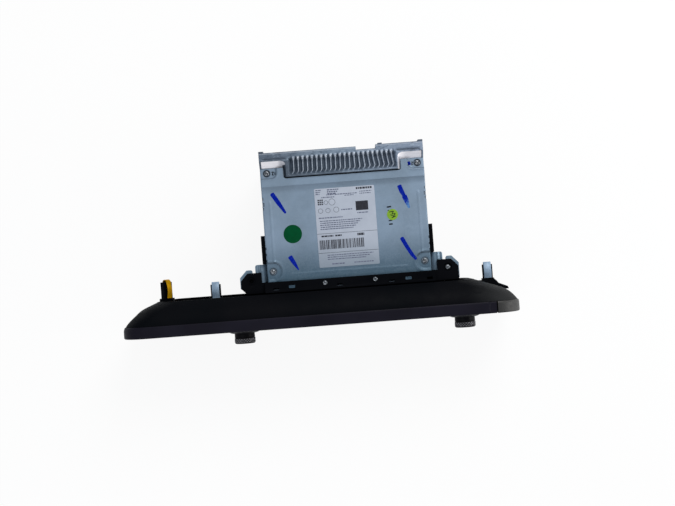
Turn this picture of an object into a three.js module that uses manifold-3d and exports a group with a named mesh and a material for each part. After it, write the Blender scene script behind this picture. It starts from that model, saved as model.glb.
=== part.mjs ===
// Car radio head unit: a steel chassis with a finned casting at its rear, carried by a wide display fascia.
// Millimetres. X runs to the right seen from the front, Y from the fascia to the rear, Z up.
// The origin is the middle of the chassis underside.

import * as THREE from 'three';
import { mergeVertices } from 'three/addons/utils/BufferGeometryUtils.js';
import Module from 'manifold-3d';

const wasm = await Module();
wasm.setup();

// General clearances and counts
const clearance = 0.3;
const labelGap = 0.1;
const overrun = 2;
const roundSides = 28;
const smallSides = 16;
const pinSides = 8;
const arcSteps = 4;
const smallArcSteps = 1;

// Chassis
const chassisWidth = 178;
const chassisHeight = 100;
const chassisDepth = 149;
const chassisFront = -79;
const sheet = 1;
const frameWebThickness = 1.7;
const chassisRear = chassisFront + chassisDepth;
const halfWidth = chassisWidth / 2;
const frameFront = chassisFront - clearance - frameWebThickness;

// Top cover
const coverFlangeHeight = 38;
const coverRearSetback = 17;
const coverRise = 1.4;
const coverRampLength = 3.8;
const coverBandDepth = 15.8;
const coverEarWidth = 25;
const coverNotchDepth = 11.6;
const coverNotchRadius = 3;
const earPadWidth = 18;
const earPadDepth = 11;
const earPadDrop = 2.2;
const earPadRadius = 6;
const sideSlotLength = 12;
const sideSlotDepth = 1.8;
const sideSlotHeight = 5;
const sideSlotSetback = 36.5;
const sideNickLength = 2.2;
const sideNickPitch = 6.5;
const sideNickCount = 3;
const sideNickSetback = 86.6;
const snapTabHeight = 2.4;
const snapTabGap = 1.2;
const coverRear = chassisRear - coverRearSetback;
const coverBandFront = coverRear - coverBandDepth;
const coverTop = chassisHeight;
const coverBandTop = coverTop + coverRise;
const earPadTop = coverBandTop - earPadDrop;
const notchFront = coverRear - coverNotchDepth;
const notchHalf = halfWidth - coverEarWidth;

// Screws
const screwHeadRadius = 3;
const screwHeadHeight = 1.6;
const screwShankRadius = 1.4;
const screwShankLength = 7;
const screwHoleRadius = screwShankRadius + clearance;
const driveSocketDepth = 0.8;
const driveSocketWidth = 0.9;
const driveSocketLength = 3.2;

// Places of the cover screws
const rearScrewSideInset = 7.2;
const rearScrewInset = 5;
const frontScrewSideInset = 6.6;
const frontScrewSetback = 20.5;
const rearScrewX = halfWidth - rearScrewSideInset;
const frontScrewX = halfWidth - frontScrewSideInset;
const rearScrewY = coverRear - rearScrewInset;
const frontScrewY = chassisFront + frontScrewSetback;

// Chassis tray
const trayWallInset = 1.3;
const trayRearSetback = 6;
const trayRearWallSetback = 12;
const trayRearWallGap = 2;
const sinkRearWallLow = 46;
const trayTabDepth = 14;
const trayTabReach = 11;
const trayTabThickness = 3;
const frontSlotWidth = 34;
const frontSlotHeight = 10;
const trayHalf = halfWidth - trayWallInset;
const trayTop = coverTop - sheet - clearance;
const trayRear = chassisRear - trayRearSetback;
const trayFrontRelief = 0.3;
const trayRearWallY = chassisRear - trayRearWallSetback;
const trayRearWallHeight = sinkRearWallLow - trayRearWallGap;

// Main board and what stands on it
const boardThickness = 1.6;
const mainBoardHeight = 14;
const mainBoardSideGap = 5.7;
const mainBoardFrontSetback = 9;
const mainBoardRearGap = 2;
const standoffRadius = 3;
const standoffInset = 8;
const standoffPilotRadius = 1.2;
const mainBoardWidth = 2 * (trayHalf - mainBoardSideGap);
const mainBoardTop = mainBoardHeight + boardThickness;
const onBoard = mainBoardTop + clearance;
const mainBoardFront = chassisFront + mainBoardFrontSetback;
const mainBoardRear = trayRearWallY - mainBoardRearGap;
const tunerWidth = 50;
const tunerDepth = 36;
const tunerHeight = 12;
const tunerX = 45;
const tunerY = 5;
const amplifierInset = 3;
const amplifierThickness = 5;
const amplifierHeight = 22;

// Heat sink casting
const sinkRise = 4;
const sinkRearWall = 5;
const sinkBeamDepth = 9;
const finHeight = 10;
const sinkBaseThickness = 8;
const sinkSlopeDepth = 7.6;
const sinkSlopeDrop = 6.4;
const sinkShelfThickness = 9;
const sinkStepDepth = 3.4;
const sinkStepLeft = 16.5;
const sinkStepWidth = 21.5;
const finEndGap = 6.6;
const finPitch = 5.05;
const finThickness = 1.8;
const finFrontGap = 2.2;
const finLength = 18.5;
const finTipDrop = 1;
const nubDepth = 3;
const nubHeight = 0.8;
const nubSetback = 1;
const sinkLegMainGap = 3;
const sinkLegUsbGap = 2.5;
const sinkLegThickness = 6;
const sinkLegLow = 20;
const sinkLegSetback = 14.4;
const sinkWallThickness = 2.2;
const sinkWallDrop = 1.2;
const cornerLugDepth = 1.8;
const cornerLugWidth = 5;
const cornerLugHeight = 12;
const sinkFront = notchFront + clearance;
const sinkBeamFront = chassisRear - sinkBeamDepth;
const sinkHalf = halfWidth;
const sinkHeight = chassisHeight + sinkRise;
const sinkBaseTop = sinkHeight - finHeight;
const sinkBlockHalf = notchHalf - clearance;
const finSpan = 2 * (sinkBlockHalf - sinkWallThickness - finEndGap);
const finCount = Math.floor(finSpan / finPitch) + 1;

// Rear connectors
const connectorReach = 3;
const connectorWall = 2;
const connectorDepth = 22;
const pinWidth = 1;
const pinLength = 5;
const mainSocketWidth = 52;
const mainSocketHeight = 24;
const mainSocketSideGap = 4.7;
const mainPinColumns = 10;
const mainPinPitch = 4.4;
const pinRowPitch = 7;
const auxSocketWidth = 26;
const auxSocketHeight = 15;
const auxSocketGap = 5;
const auxPinColumns = 6;
const auxPinPitch = 3.4;
const auxRowPitch = 4;
const usbWidth = 15;
const usbHeight = 8;
const usbWall = 1;
const usbGap = 3.5;
const usbTongueThickness = 1.2;
const antennaWidth = 24;
const antennaHeight = 14;
const antennaSideGap = 3.7;
const antennaPitch = 12;
const antennaBoreRadius = 4;
const antennaPinRadius = 0.7;
const connectorRear = chassisRear - connectorReach;
const connectorFront = connectorRear - connectorDepth;
const mainSocketX = -trayHalf + sheet + mainSocketSideGap + mainSocketWidth / 2;
const antennaX = trayHalf - sheet - antennaSideGap - antennaWidth / 2;
const auxSocketX = antennaX - antennaWidth / 2 - auxSocketGap - auxSocketWidth / 2;
const usbX = auxSocketX - auxSocketWidth / 2 - usbGap - usbWidth / 2;
const sinkLegLeft = mainSocketX + mainSocketWidth / 2 + sinkLegMainGap;
const sinkLegRight = usbX - usbWidth / 2 - sinkLegUsbGap;

// Fascia outline
const leftWing = 161.5;
const rightWing = 93.4;
const fasciaOverhang = 16;
const fasciaDepth = 37.9;
const fasciaGap = 1.4;
const fasciaCorner = 28;
const fasciaWall = 2.5;
const fasciaLow = -fasciaOverhang;
const fasciaHigh = chassisHeight + fasciaOverhang;
const fasciaLeft = -halfWidth - leftWing;
const fasciaRight = halfWidth + rightWing;
const fasciaRear = frameFront - fasciaGap;
const fasciaFront = fasciaRear - fasciaDepth;

// How far each side of the fascia draws in towards the rear, where that starts and how sharply it bends
const leftDraw = { reach: 37, start: 8, powerShare: 1.75 };
const rightDraw = { reach: 46.3, start: 10, powerShare: 1.7 };
const flatDraw = { reach: 13, start: 13.7, powerShare: 1.9 };
const fasciaStations = 8;
const fasciaCornerSteps = 8;

// Trim ring and right end trim
const ringDepth = 12.7;
const ringWidth = 7;
const ringEdgeRound = 1.2;
const ringStep = 0.8;
const endTrimWidth = 26.4;
const ringRear = fasciaFront + ringDepth;
const endTrimX = fasciaRight - endTrimWidth;

// Front face panel
const panelThickness = 2.5;
const panelRecess = 0.5;
const panelSkirtWall = 2;
const panelSkirtDepth = 10;
const panelFront = fasciaFront + panelRecess;
const panelRear = panelFront + panelThickness;
const panelLeft = fasciaLeft + ringWidth + clearance;
const panelRight = fasciaRight - ringWidth - clearance;
const panelLow = fasciaLow + ringWidth + clearance;
const panelHigh = fasciaHigh - ringWidth - clearance;
const panelCorner = fasciaCorner - ringWidth - clearance;

// Display
const displayX = 2;
const lensWidth = 196;
const lensMargin = 1.7;
const lensThickness = 1.6;
const lensRadius = 4;
const lensSeat = 5;
const lcdSideInset = 4;
const lcdEdgeInset = 2.5;
const lcdThickness = 6;
const backPlateMargin = 3;
const backPlateThickness = 1.2;
const backPlateFootRadius = 4;
const backPlateFootInset = 14;
const displayZ = chassisHeight / 2;
const lensHeight = panelHigh - panelLow - 2 * lensMargin;
const lcdWidth = lensWidth - 2 * lcdSideInset;
const lcdHeight = lensHeight - 2 * lcdEdgeInset;
const backPlateWidth = lcdWidth + 2 * backPlateMargin;
const lensRear = panelFront + lensThickness;
const lcdFront = panelRear + clearance;
const lcdRear = lcdFront + lcdThickness;
const backPlateFront = lcdRear + clearance;
const backPlateRear = backPlateFront + backPlateThickness;

// Front board
const displayStandoff = 5.9;
const frontBoardSideMargin = 13;
const frontBoardMargin = 5.7;
const boardPostRadius = 3.5;
const boardPostGap = 6;
const boardPostInset = 8;
const frontBoardFront = backPlateRear + displayStandoff;
const frontBoardHeight = panelHigh - panelLow - 2 * frontBoardMargin;
const boardPostX = lensWidth / 2 + boardPostGap;
const boardPostZ = frontBoardHeight / 2 - boardPostInset;
const frontBoardRear = frontBoardFront + boardThickness;

// Knobs and their encoders
const collarSideGap = 4;
const collarMargin = 8.7;
const knobPush = 1;
const knobFrontRadius = 11.85;
const knobRearRadius = 11.1;
const knobWall = 1.5;
const knobLength = 17;
const knobFaceThickness = 2;
const knobReach = 18.1;
const knobHubRadius = 5;
const knobHubLength = 10;
const gripLength = 6;
const gripThickness = 1.35;
const gripFrontGap = 0.6;
const gripGrooveCount = 24;
const gripGrooveDepth = 0.5;
const grooveSides = 6;
const knobEdgeRound = 0.8;
const collarHeight = 6.8;
const collarRadius = 24;
const collarBoreGap = 0.7;
const collarLip = 1;
const collarFlareShare = 0.8;
const shaftRadius = 2.6;
const shaftFlat = 0.8;
const bushingWall = 1;
const bushingLength = 7.2;
const encoderWidth = 13;
const encoderWall = 1;
const encoderCavityRadius = 4.8;
const plungerThickness = 1.5;
const shaftFlangeThickness = 1.6;
const knobOffset = lensWidth / 2 + collarSideGap + collarRadius;
const leftKnobX = displayX - knobOffset;
const rightKnobX = displayX + knobOffset;
const knobZ = panelLow + collarMargin + collarRadius;
const frontBoardWidth = 2 * (knobOffset + frontBoardSideMargin);
const knobFace = fasciaFront - knobReach;
const knobRear = knobFace + knobLength;
const collarTip = panelFront - collarHeight;
const collarBoreRadius = knobRearRadius + collarBoreGap;
const bushingBoreRadius = shaftRadius + clearance;
const bushingRadius = bushingBoreRadius + bushingWall;
const encoderRear = frontBoardFront - clearance;
const cavityRear = encoderRear - encoderWall;
const plungerRear = cavityRear - clearance - knobPush;
const plungerFront = plungerRear - plungerThickness;
const shaftRear = plungerFront - clearance;
const flangeFront = shaftRear - shaftFlangeThickness;
const cavityFront = flangeFront - clearance;
const encoderFront = cavityFront - encoderWall;

// Keys
const keyWidth = 26;
const keyCount = 4;
const keySpace = 2.4;
const keyCollarGap = 2.2;
const keyTopMargin = 4.9;
const keyProud = 1;
const keyGap = 0.4;
const keyRadius = 1.5;
const keyFlange = 0.9;
const keyFlangeThickness = 1.2;
const keyStemRadius = 2.5;
const keyTravel = 0.8;
const keypadThickness = 1.5;
const keypadDomeHeight = 2;
const keypadDomeRadius = 4;
const keypadMargin = 1.5;
const keyFloor = knobZ + collarRadius + keyCollarGap;
const keyPitch = (panelHigh - keyTopMargin + keySpace - keyFloor) / keyCount;
const keyHeight = keyPitch - keySpace;
const keyLowest = keyFloor + keyHeight / 2;
const keypadRear = frontBoardFront - clearance;
const keypadFront = keypadRear - keypadThickness;
const domeFront = keypadFront - keypadDomeHeight;
const keyStemRear = domeFront - clearance - keyTravel;

// Left trim insert
const insertCollarGap = 2.2;
const insertMargin = 12.7;
const insertRadius = 6;
const insertThickness = 1.6;
const insertSetback = 9;
const insertProud = 0.4;
const insertLeft = panelLeft + insertSetback;
const insertWidth = leftKnobX - collarRadius - insertCollarGap - insertLeft;
const insertHeight = panelHigh - panelLow - 2 * insertMargin;
const insertFloor = panelFront + insertThickness + clearance - insertProud;
const insertGrip = (panelRear - insertFloor) / 2;

// Rear frame: the plastic collar that carries the chassis, with its ears and side arms
const frameWall = 3;
const frameOverlap = 9.3;
const frameWebMargin = 11;
const frameNeckInset = 3;
const frameWindowX = 63.2;
const frameWindowWidth = 7.6;
const frameWindowDepth = 3.8;
const frameWindowSetback = 3.1;
const frameSlotWidth = 6;
const frameSlotDepth = 2.4;
const frameSlotSetback = 2.2;
const frameSlotShares = [-0.903, -0.131, 0.508, 0.969];
const frameScrewX = 27.2;
const frameScrewSetback = 6.6;
const armThickness = 2.4;
const armReach = 60;
const armLow = 30;
const armDrop = 5;
const armFrontDrop = 18;
const armJogSetback = 29.3;
const earDrop = 4.2;
const earThickness = 6;
const earInnerReach = 6.8;
const earFrontReach = 24;
const earReach = 29.5;
const earCornerReach = 22;
const earShoulderSetback = 4;
const earChamferSetback = 12.5;
const earRearSetback = 20.4;
const earHoleReach = 18;
const earHoleSetback = 11.8;
const earHoleRadius = 2.3;
const earRecessRadius = 4.6;
const earRecessDepth = 1.6;
const earScrewRadius = 1.9;
const earScrewLength = 8;
const frameRear = chassisFront + frameOverlap;
const frameInnerHalf = halfWidth + clearance;
const frameOuterHalf = frameInnerHalf + frameWall;
const frameHigh = chassisHeight + clearance + frameWall;
const frameLow = -clearance - frameWall;
const windowY = frameFront + frameWindowSetback + frameWindowDepth / 2;
const frameSlotY = frameFront + frameSlotSetback + frameSlotDepth / 2;
const frameScrewY = frameFront + frameScrewSetback;
const earHoleY = chassisFront + earHoleSetback;
const earRearY = chassisFront + earRearSetback;
const earChamferY = chassisFront + earChamferSetback;
const earShoulderY = chassisFront + earShoulderSetback;
const armJogY = chassisFront + armJogSetback;
const armHigh = chassisHeight - armDrop;
const armFrontHigh = chassisHeight - armFrontDrop;
const earTop = chassisHeight - earDrop;
const earInnerX = halfWidth + earInnerReach;
const earFrontX = halfWidth + earFrontReach;
const earOuterX = halfWidth + earReach;
const earCornerX = halfWidth + earCornerReach;
const earHoleX = halfWidth + earHoleReach;

// Steel brackets under the ears
const bracketSheet = 1.5;
const bracketBend = 4;
const bracketLow = 20;
const bracketDepth = 19.4;
const bracketScrewSetback = 19;
const bracketScrewLength = 7.4;
const bracketPeek = 3.4;
const bracketEdgeGap = 1.2;
const bracketTongueReach = 13.4;
const bracketNotchWidth = 3.2;
const bracketNotchDepth = 1.6;
const bracketScrewZ = chassisHeight / 2;
const bracketTongueX = halfWidth + bracketTongueReach;
const bracketTop = earTop - earThickness - clearance;
const bracketFront = frameRear + clearance;
const bracketRear = bracketFront + bracketDepth;
const bracketInner = halfWidth + clearance;
const armInner = bracketInner + bracketSheet + clearance;
const bracketScrewY = chassisFront + bracketScrewSetback;
const armOuter = armInner + armThickness;

// Back panel of the fascia
const backPanelThickness = 3.1;
const backPanelSetback = 3.3;
const ribThickness = 2;
const ribDepth = 12;
const ribZ = 30;
const ribSideGap = 3;
const leftRibLength = 112;
const rightRibLength = 36;
const uprightRibShares = [0.17, 0.56];
const uprightHeight = 84;
const wingBossRadius = 4;
const wingBossShares = [0.42, 0.66];
const wingBossZ = 38;
const ribStart = halfWidth + ribSideGap;
const leftRibs = [-ribStart - leftRibLength, -ribStart];
const rightRibs = [ribStart, ribStart + rightRibLength];
const backPanelRear = fasciaRear - backPanelSetback;
const backPanelFront = backPanelRear - backPanelThickness;

// Clips: a plastic blade on a base, with a sprung steel clip folded over it
const bladeThickness = 2.6;
const postThickness = 6;
const clipSheet = 0.7;
const clipWidth = 8.2;
const clipBulge = 1.8;
const bladeShoulder = 1.6;
const clipBaseHeight = 14;
const greyBaseWidth = 13;
const greyBaseDepth = 2.1;
const yellowBaseWidth = 15;
const yellowBaseDepth = 6.2;
const greyClipLength = 18.1;
const greyClipRise = 4;
const leftClipInset = 100.2;
const rightClipInset = 28.2;
const yellowClipLength = 20.8;
const yellowClipInset = 47;
const yellowClipTurn = 0.75;
const yellowClipRise = 18;
const ledgeHeight = 20;
const ledgeDepth = 11;
const ledgeInner = 30;
const ledgeOuter = 21.5;
const ledgeCrest = -5;
const ledgeFallShares = [[0, 0], [0.54, 0.3], [0.96, 0.74], [1, 0.97]];
const greyClipZ = displayZ + greyClipRise;
const yellowClipZ = displayZ + yellowClipRise;
const leftClipX = fasciaLeft + leftClipInset;
const rightClipX = fasciaRight - rightClipInset;
const yellowClipX = fasciaLeft + yellowClipInset;
const ledgeLow = greyClipZ - ledgeHeight / 2;
const ledgeHigh = greyClipZ + ledgeHeight / 2;
const ledgeRoot = rightClipX - ledgeInner;
const ledgeCrestX = rightClipX + ledgeCrest;
const ledgeReach = rightClipX + ledgeOuter;

// Labels on the cover
const labelThickness = 0.2;
const labelWidth = 65.4;
const labelLength = 85.6;
const labelX = 0.7;
const labelY = -15.4;
const greenRadius = 10;
const greenX = -58.3;
const greenY = -19.3;
const limeRadius = 6;
const limeX = 51;
const limeY = -6.2;

// Ribbon between the two boards
const ribbonWidth = 30;
const ribbonThickness = 0.8;
const ribbonHeight = 31;
const ribbonEnd = -60;

// Geometry helpers

function solid(geometry) {
  const bare = geometry.index ? geometry.toNonIndexed() : geometry.clone();
  bare.deleteAttribute('normal');
  bare.deleteAttribute('uv');
  const merged = mergeVertices(bare, 1e-4);
  const position = merged.attributes.position;
  const index = merged.index.array;
  const corners = [];
  for (let i = 0; i < index.length; i += 3) {
    const [a, b, c] = [index[i], index[i + 1], index[i + 2]];
    if (a !== b && b !== c && c !== a) corners.push(a, b, c);
  }
  const at = (i) => new THREE.Vector3().fromBufferAttribute(position, i);
  let volume = 0;
  for (let i = 0; i < corners.length; i += 3) {
    volume += at(corners[i]).dot(at(corners[i + 1]).cross(at(corners[i + 2])));
  }
  if (volume < 0) corners.reverse();
  return new wasm.Manifold(new wasm.Mesh({
    numProp: 3,
    vertProperties: new Float32Array(position.array),
    triVerts: new Uint32Array(corners),
  }));
}

function geometryOf(shape) {
  const mesh = shape.getMesh();
  const points = new Float32Array(mesh.numVert * 3);
  for (let i = 0; i < mesh.numVert; i += 1) {
    for (let k = 0; k < 3; k += 1) points[i * 3 + k] = mesh.vertProperties[i * mesh.numProp + k];
  }
  const geometry = new THREE.BufferGeometry();
  geometry.setAttribute('position', new THREE.BufferAttribute(points, 3));
  geometry.setIndex(new THREE.BufferAttribute(new Uint32Array(mesh.triVerts), 1));
  return geometry;
}

const join = (first, ...rest) => rest.reduce((sum, next) => sum.add(next), first);
const cut = (first, ...rest) => rest.reduce((left, next) => left.subtract(next), first);

function block([x0, x1], [y0, y1], [z0, z1]) {
  const geometry = new THREE.BoxGeometry(x1 - x0, y1 - y0, z1 - z0);
  return solid(geometry.translate((x0 + x1) / 2, (y0 + y1) / 2, (z0 + z1) / 2));
}

const around = (middle, size) => [middle - size / 2, middle + size / 2];

const basisOf = {
  x: new THREE.Matrix4().makeBasis(
    new THREE.Vector3(0, 1, 0), new THREE.Vector3(0, 0, 1), new THREE.Vector3(1, 0, 0)),
  y: new THREE.Matrix4().makeBasis(
    new THREE.Vector3(1, 0, 0), new THREE.Vector3(0, 0, 1), new THREE.Vector3(0, -1, 0)),
  z: new THREE.Matrix4(),
};

// A flat outline pushed along an axis. It is drawn in the two other coordinates, in their X, Y, Z order.
function prism(outline, axis, [low, high], cornerSteps = arcSteps) {
  const geometry = new THREE.ExtrudeGeometry(outline, {
    depth: high - low, bevelEnabled: false, curveSegments: cornerSteps, steps: 1,
  });
  geometry.applyMatrix4(basisOf[axis]);
  const start = axis === 'y' ? high : low;
  return solid(geometry.translate(
    axis === 'x' ? start : 0, axis === 'y' ? start : 0, axis === 'z' ? start : 0));
}

function polygon(points) {
  return new THREE.Shape(points.map(([a, b]) => new THREE.Vector2(a, b)));
}

function roundedRect([a0, a1], [b0, b1], radius) {
  const shape = new THREE.Shape();
  shape.moveTo(a0 + radius, b0);
  shape.lineTo(a1 - radius, b0);
  shape.absarc(a1 - radius, b0 + radius, radius, -Math.PI / 2, 0);
  shape.lineTo(a1, b1 - radius);
  shape.absarc(a1 - radius, b1 - radius, radius, 0, Math.PI / 2);
  shape.lineTo(a0 + radius, b1);
  shape.absarc(a0 + radius, b1 - radius, radius, Math.PI / 2, Math.PI);
  shape.lineTo(a0, b0 + radius);
  shape.absarc(a0 + radius, b0 + radius, radius, Math.PI, Math.PI * 1.5);
  return shape;
}

// A round bar along an axis, at the two other coordinates in their X, Y, Z order
function rod(axis, [a, b], radius, [low, high], sides = smallSides) {
  const geometry = new THREE.CylinderGeometry(radius, radius, high - low, sides);
  const middle = (low + high) / 2;
  if (axis === 'x') return solid(geometry.rotateZ(Math.PI / 2).translate(middle, a, b));
  if (axis === 'y') return solid(geometry.translate(a, middle, b));
  return solid(geometry.rotateX(Math.PI / 2).translate(a, b, middle));
}

// A turned solid about a Y axis at x, z. The profile lists radius and y and closes on itself.
function turned(profile, [x, z], sides = roundSides) {
  const points = [...profile, profile[0]].map(([radius, y]) => new THREE.Vector2(radius, y));
  return solid(new THREE.LatheGeometry(points, sides).translate(x, 0, z));
}

// Rings of equally many points joined into one closed skin, with a flat cap at each end
function loft(rings) {
  const count = rings[0].length;
  const points = rings.flat();
  const index = [];
  for (let ring = 0; ring + 1 < rings.length; ring += 1) {
    for (let i = 0; i < count; i += 1) {
      const next = (i + 1) % count;
      const [a, b] = [ring * count + i, ring * count + next];
      index.push(a, b, b + count, a, b + count, a + count);
    }
  }
  const last = (rings.length - 1) * count;
  for (let i = 1; i + 1 < count; i += 1) {
    index.push(0, i + 1, i, last, last + i, last + i + 1);
  }
  const geometry = new THREE.BufferGeometry().setFromPoints(points);
  geometry.setIndex(index);
  return solid(geometry);
}

const mirrorX = (points, side) => (
  side > 0 ? points : points.map(([x, y]) => [-x, y]).reverse());
const sideSpan = (side, inner, outer) => (side > 0 ? [inner, outer] : [-outer, -inner]);

// How far a side of the fascia is drawn in at a depth behind the front plane, and how steeply
function drawnIn({ reach, start, powerShare }, depth) {
  const share = Math.max(0, (depth - start) / (fasciaDepth - start));
  return reach * share ** powerShare;
}

function drawSlope({ reach, start, powerShare }, depth) {
  const run = fasciaDepth - start;
  const share = Math.max(0, (depth - start) / run);
  return reach * powerShare * share ** (powerShare - 1) / run;
}

// The inset is measured square to the skin, so across the fascia it grows with the slope.
function fasciaRing(inset, depth, y = fasciaFront + depth) {
  const offset = (draw) => drawnIn(draw, depth) + inset * Math.hypot(1, drawSlope(draw, depth));
  const radius = fasciaCorner - inset;
  const [left, right] = [fasciaLeft + offset(leftDraw) + radius, fasciaRight - offset(rightDraw) - radius];
  const [low, high] = [fasciaLow + offset(flatDraw) + radius, fasciaHigh - offset(flatDraw) - radius];
  const corners = [[right, low], [right, high], [left, high], [left, low]];
  return corners.flatMap(([x, z], corner) => Array.from({ length: fasciaCornerSteps + 1 }, (_, i) => {
    const angle = Math.PI / 2 * (corner - 1 + i / fasciaCornerSteps);
    return new THREE.Vector3(x + radius * Math.cos(angle), y, z + radius * Math.sin(angle));
  }));
}

// The space inside the fascia's skin between two depths, run on straight at either end by an extra length
function fasciaBody(inset, [from, to], extraFront = 0, extraRear = 0) {
  const rings = [];
  for (let i = 0; i <= fasciaStations; i += 1) {
    rings.push(fasciaRing(inset, from + (to - from) * i / fasciaStations));
  }
  if (extraFront > 0) rings.unshift(fasciaRing(inset, from, fasciaFront + from - extraFront));
  if (extraRear > 0) rings.push(fasciaRing(inset, to, fasciaFront + to + extraRear));
  return loft(rings);
}

// Chassis pieces

function coverProfile(drop, extend) {
  const low = coverTop - coverFlangeHeight - (drop > 0 ? overrun : 0);
  const rampFront = coverBandFront - coverRampLength;
  return polygon([
    [chassisFront - extend, low],
    [coverRear + extend, low],
    [coverRear + extend, coverBandTop - drop],
    [coverBandFront, coverBandTop - drop],
    [rampFront, coverTop - drop],
    [chassisFront - extend, coverTop - drop],
  ]);
}

function topCover() {
  const outer = prism(coverProfile(0, 0), 'x', [-halfWidth, halfWidth]);
  const inner = prism(coverProfile(sheet, overrun), 'x', [-halfWidth + sheet, halfWidth - sheet]);
  const notch = prism(
    roundedRect([-notchHalf, notchHalf], [notchFront, coverRear + coverNotchDepth], coverNotchRadius),
    'z', [coverTop - coverFlangeHeight, coverBandTop + overrun]);
  let cover = cut(outer, inner, notch);
  for (const side of [-1, 1]) {
    const padX = sideSpan(side, halfWidth - earPadWidth, halfWidth + earPadWidth);
    const padY = [coverRear - earPadDepth, coverRear + earPadDepth];
    const padOutline = (grow) => roundedRect(
      [padX[0] - grow, padX[1] + grow], [padY[0] - grow, padY[1] + grow], earPadRadius + grow);
    const walled = prism(padOutline(sheet), 'z', [earPadTop - sheet, coverBandTop]);
    const hollow = prism(padOutline(0), 'z', [earPadTop, coverBandTop + overrun]);
    const within = block([-halfWidth, halfWidth], [coverBandFront, coverRear],
      [earPadTop - sheet, coverBandTop]);
    cover = cut(join(cover, walled.intersect(within)), hollow);
    cover = cut(cover, rod('z', [side * rearScrewX, rearScrewY], screwHoleRadius,
      [earPadTop - sheet - overrun, coverBandTop + overrun]));
    cover = cut(cover, rod('z', [side * frontScrewX, frontScrewY], screwHoleRadius,
      [coverTop - sheet - overrun, coverTop + overrun]));
    const edge = sideSpan(side, halfWidth - sideSlotDepth, halfWidth + overrun);
    cover = cut(cover, rod('z', [side * frameScrewX, frameScrewY], screwHoleRadius,
      [coverTop - sheet - overrun, coverTop + overrun]));
    cover = join(cover, block(around(side * frameWindowX, frameWindowWidth - snapTabGap),
      around(windowY, frameWindowDepth - snapTabGap), [coverTop - sheet / 2, coverTop + snapTabHeight]));
    const slotY = coverRear - sideSlotSetback;
    cover = cut(cover, block(edge, around(slotY, sideSlotLength),
      [coverTop - sideSlotHeight, coverTop + overrun]));
    for (let i = 0; i < sideNickCount; i += 1) {
      const nickY = coverRear - sideNickSetback - i * sideNickPitch;
      cover = cut(cover, block(edge, around(nickY, sideNickLength),
        [coverTop - sideNickLength, coverTop + overrun]));
    }
  }
  return cover;
}

function chassisTray() {
  const wallY = [chassisFront, trayRear];
  const coverWallY = [chassisFront, coverRear - earPadDepth - sheet - clearance];
  let tray = block([-trayHalf, trayHalf], wallY, [0, sheet]);
  for (const side of [-1, 1]) {
    const wall = sideSpan(side, trayHalf - sheet, trayHalf);
    const tab = sideSpan(side, trayHalf - trayTabReach, trayHalf);
    tray = join(tray, block(wall, coverWallY, [0, trayTop]));
    tray = join(tray, block(wall, wallY, [0, sinkRearWallLow - clearance]));
    tray = join(tray, block(tab, around(frontScrewY, trayTabDepth), [trayTop - trayTabThickness, trayTop]));
    tray = cut(tray, rod('z', [side * frontScrewX, frontScrewY], screwHoleRadius,
      [trayTop - trayTabThickness - overrun, trayTop + overrun]));
    tray = cut(tray, rod('x', [bracketScrewY, bracketScrewZ], screwHoleRadius,
      sideSpan(side, trayHalf - sheet - overrun, trayHalf + overrun)));
    for (const end of [mainBoardFront + standoffInset, mainBoardRear - standoffInset]) {
      const place = [side * (mainBoardWidth / 2 - standoffInset), end];
      tray = join(tray, rod('z', place, standoffRadius, [sheet / 2, mainBoardHeight - clearance]));
      tray = cut(tray, rod('z', place, standoffPilotRadius, [sheet, mainBoardHeight + overrun], pinSides));
    }
  }
  tray = join(tray, block([-trayHalf, trayHalf], [chassisFront, chassisFront + sheet], [0, trayTop]));
  tray = join(tray, block([-trayHalf, trayHalf], [trayRearWallY, trayRearWallY + sheet],
    [0, trayRearWallHeight]));
  tray = cut(tray, block([-trayHalf - overrun, trayHalf + overrun],
    [chassisFront - overrun, frameRear + clearance], [-overrun, trayFrontRelief]));
  tray = cut(tray, block(around(0, frontSlotWidth), [chassisFront - overrun, chassisFront + sheet + overrun],
    around(ribbonHeight, frontSlotHeight)));
  for (const { x, width, height } of rearSockets) {
    tray = cut(tray, block(around(x, width + 2 * clearance),
      [trayRearWallY - overrun, trayRearWallY + sheet + overrun],
      [mainBoardTop, onBoard + height + clearance]));
  }
  return tray;
}

// A cross-head screw whose head sits on a seat and points its drive in a direction along the axis
function screw(axis, [a, b], seat, direction, length = screwShankLength, radius = screwShankRadius) {
  const span = (from, to) => [Math.min(from, to), Math.max(from, to)];
  const top = seat + direction * screwHeadHeight;
  const floor = top - direction * driveSocketDepth;
  const past = top + direction * overrun;
  const head = rod(axis, [a, b], screwHeadRadius, span(seat, top));
  const shank = rod(axis, [a, b], radius, span(seat - direction * length, seat), pinSides);
  const bar = (wide, tall) => {
    const [first, second] = [around(a, wide), around(b, tall)];
    return axis === 'z' ? block(first, second, span(floor, past)) : block(span(floor, past), first, second);
  };
  return cut(join(head, shank),
    bar(driveSocketLength, driveSocketWidth),
    bar(driveSocketWidth, driveSocketLength));
}

// Die-cast heat sink: a fin block in the cover's notch, shelves under its ears, a beam and a rear wall

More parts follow.
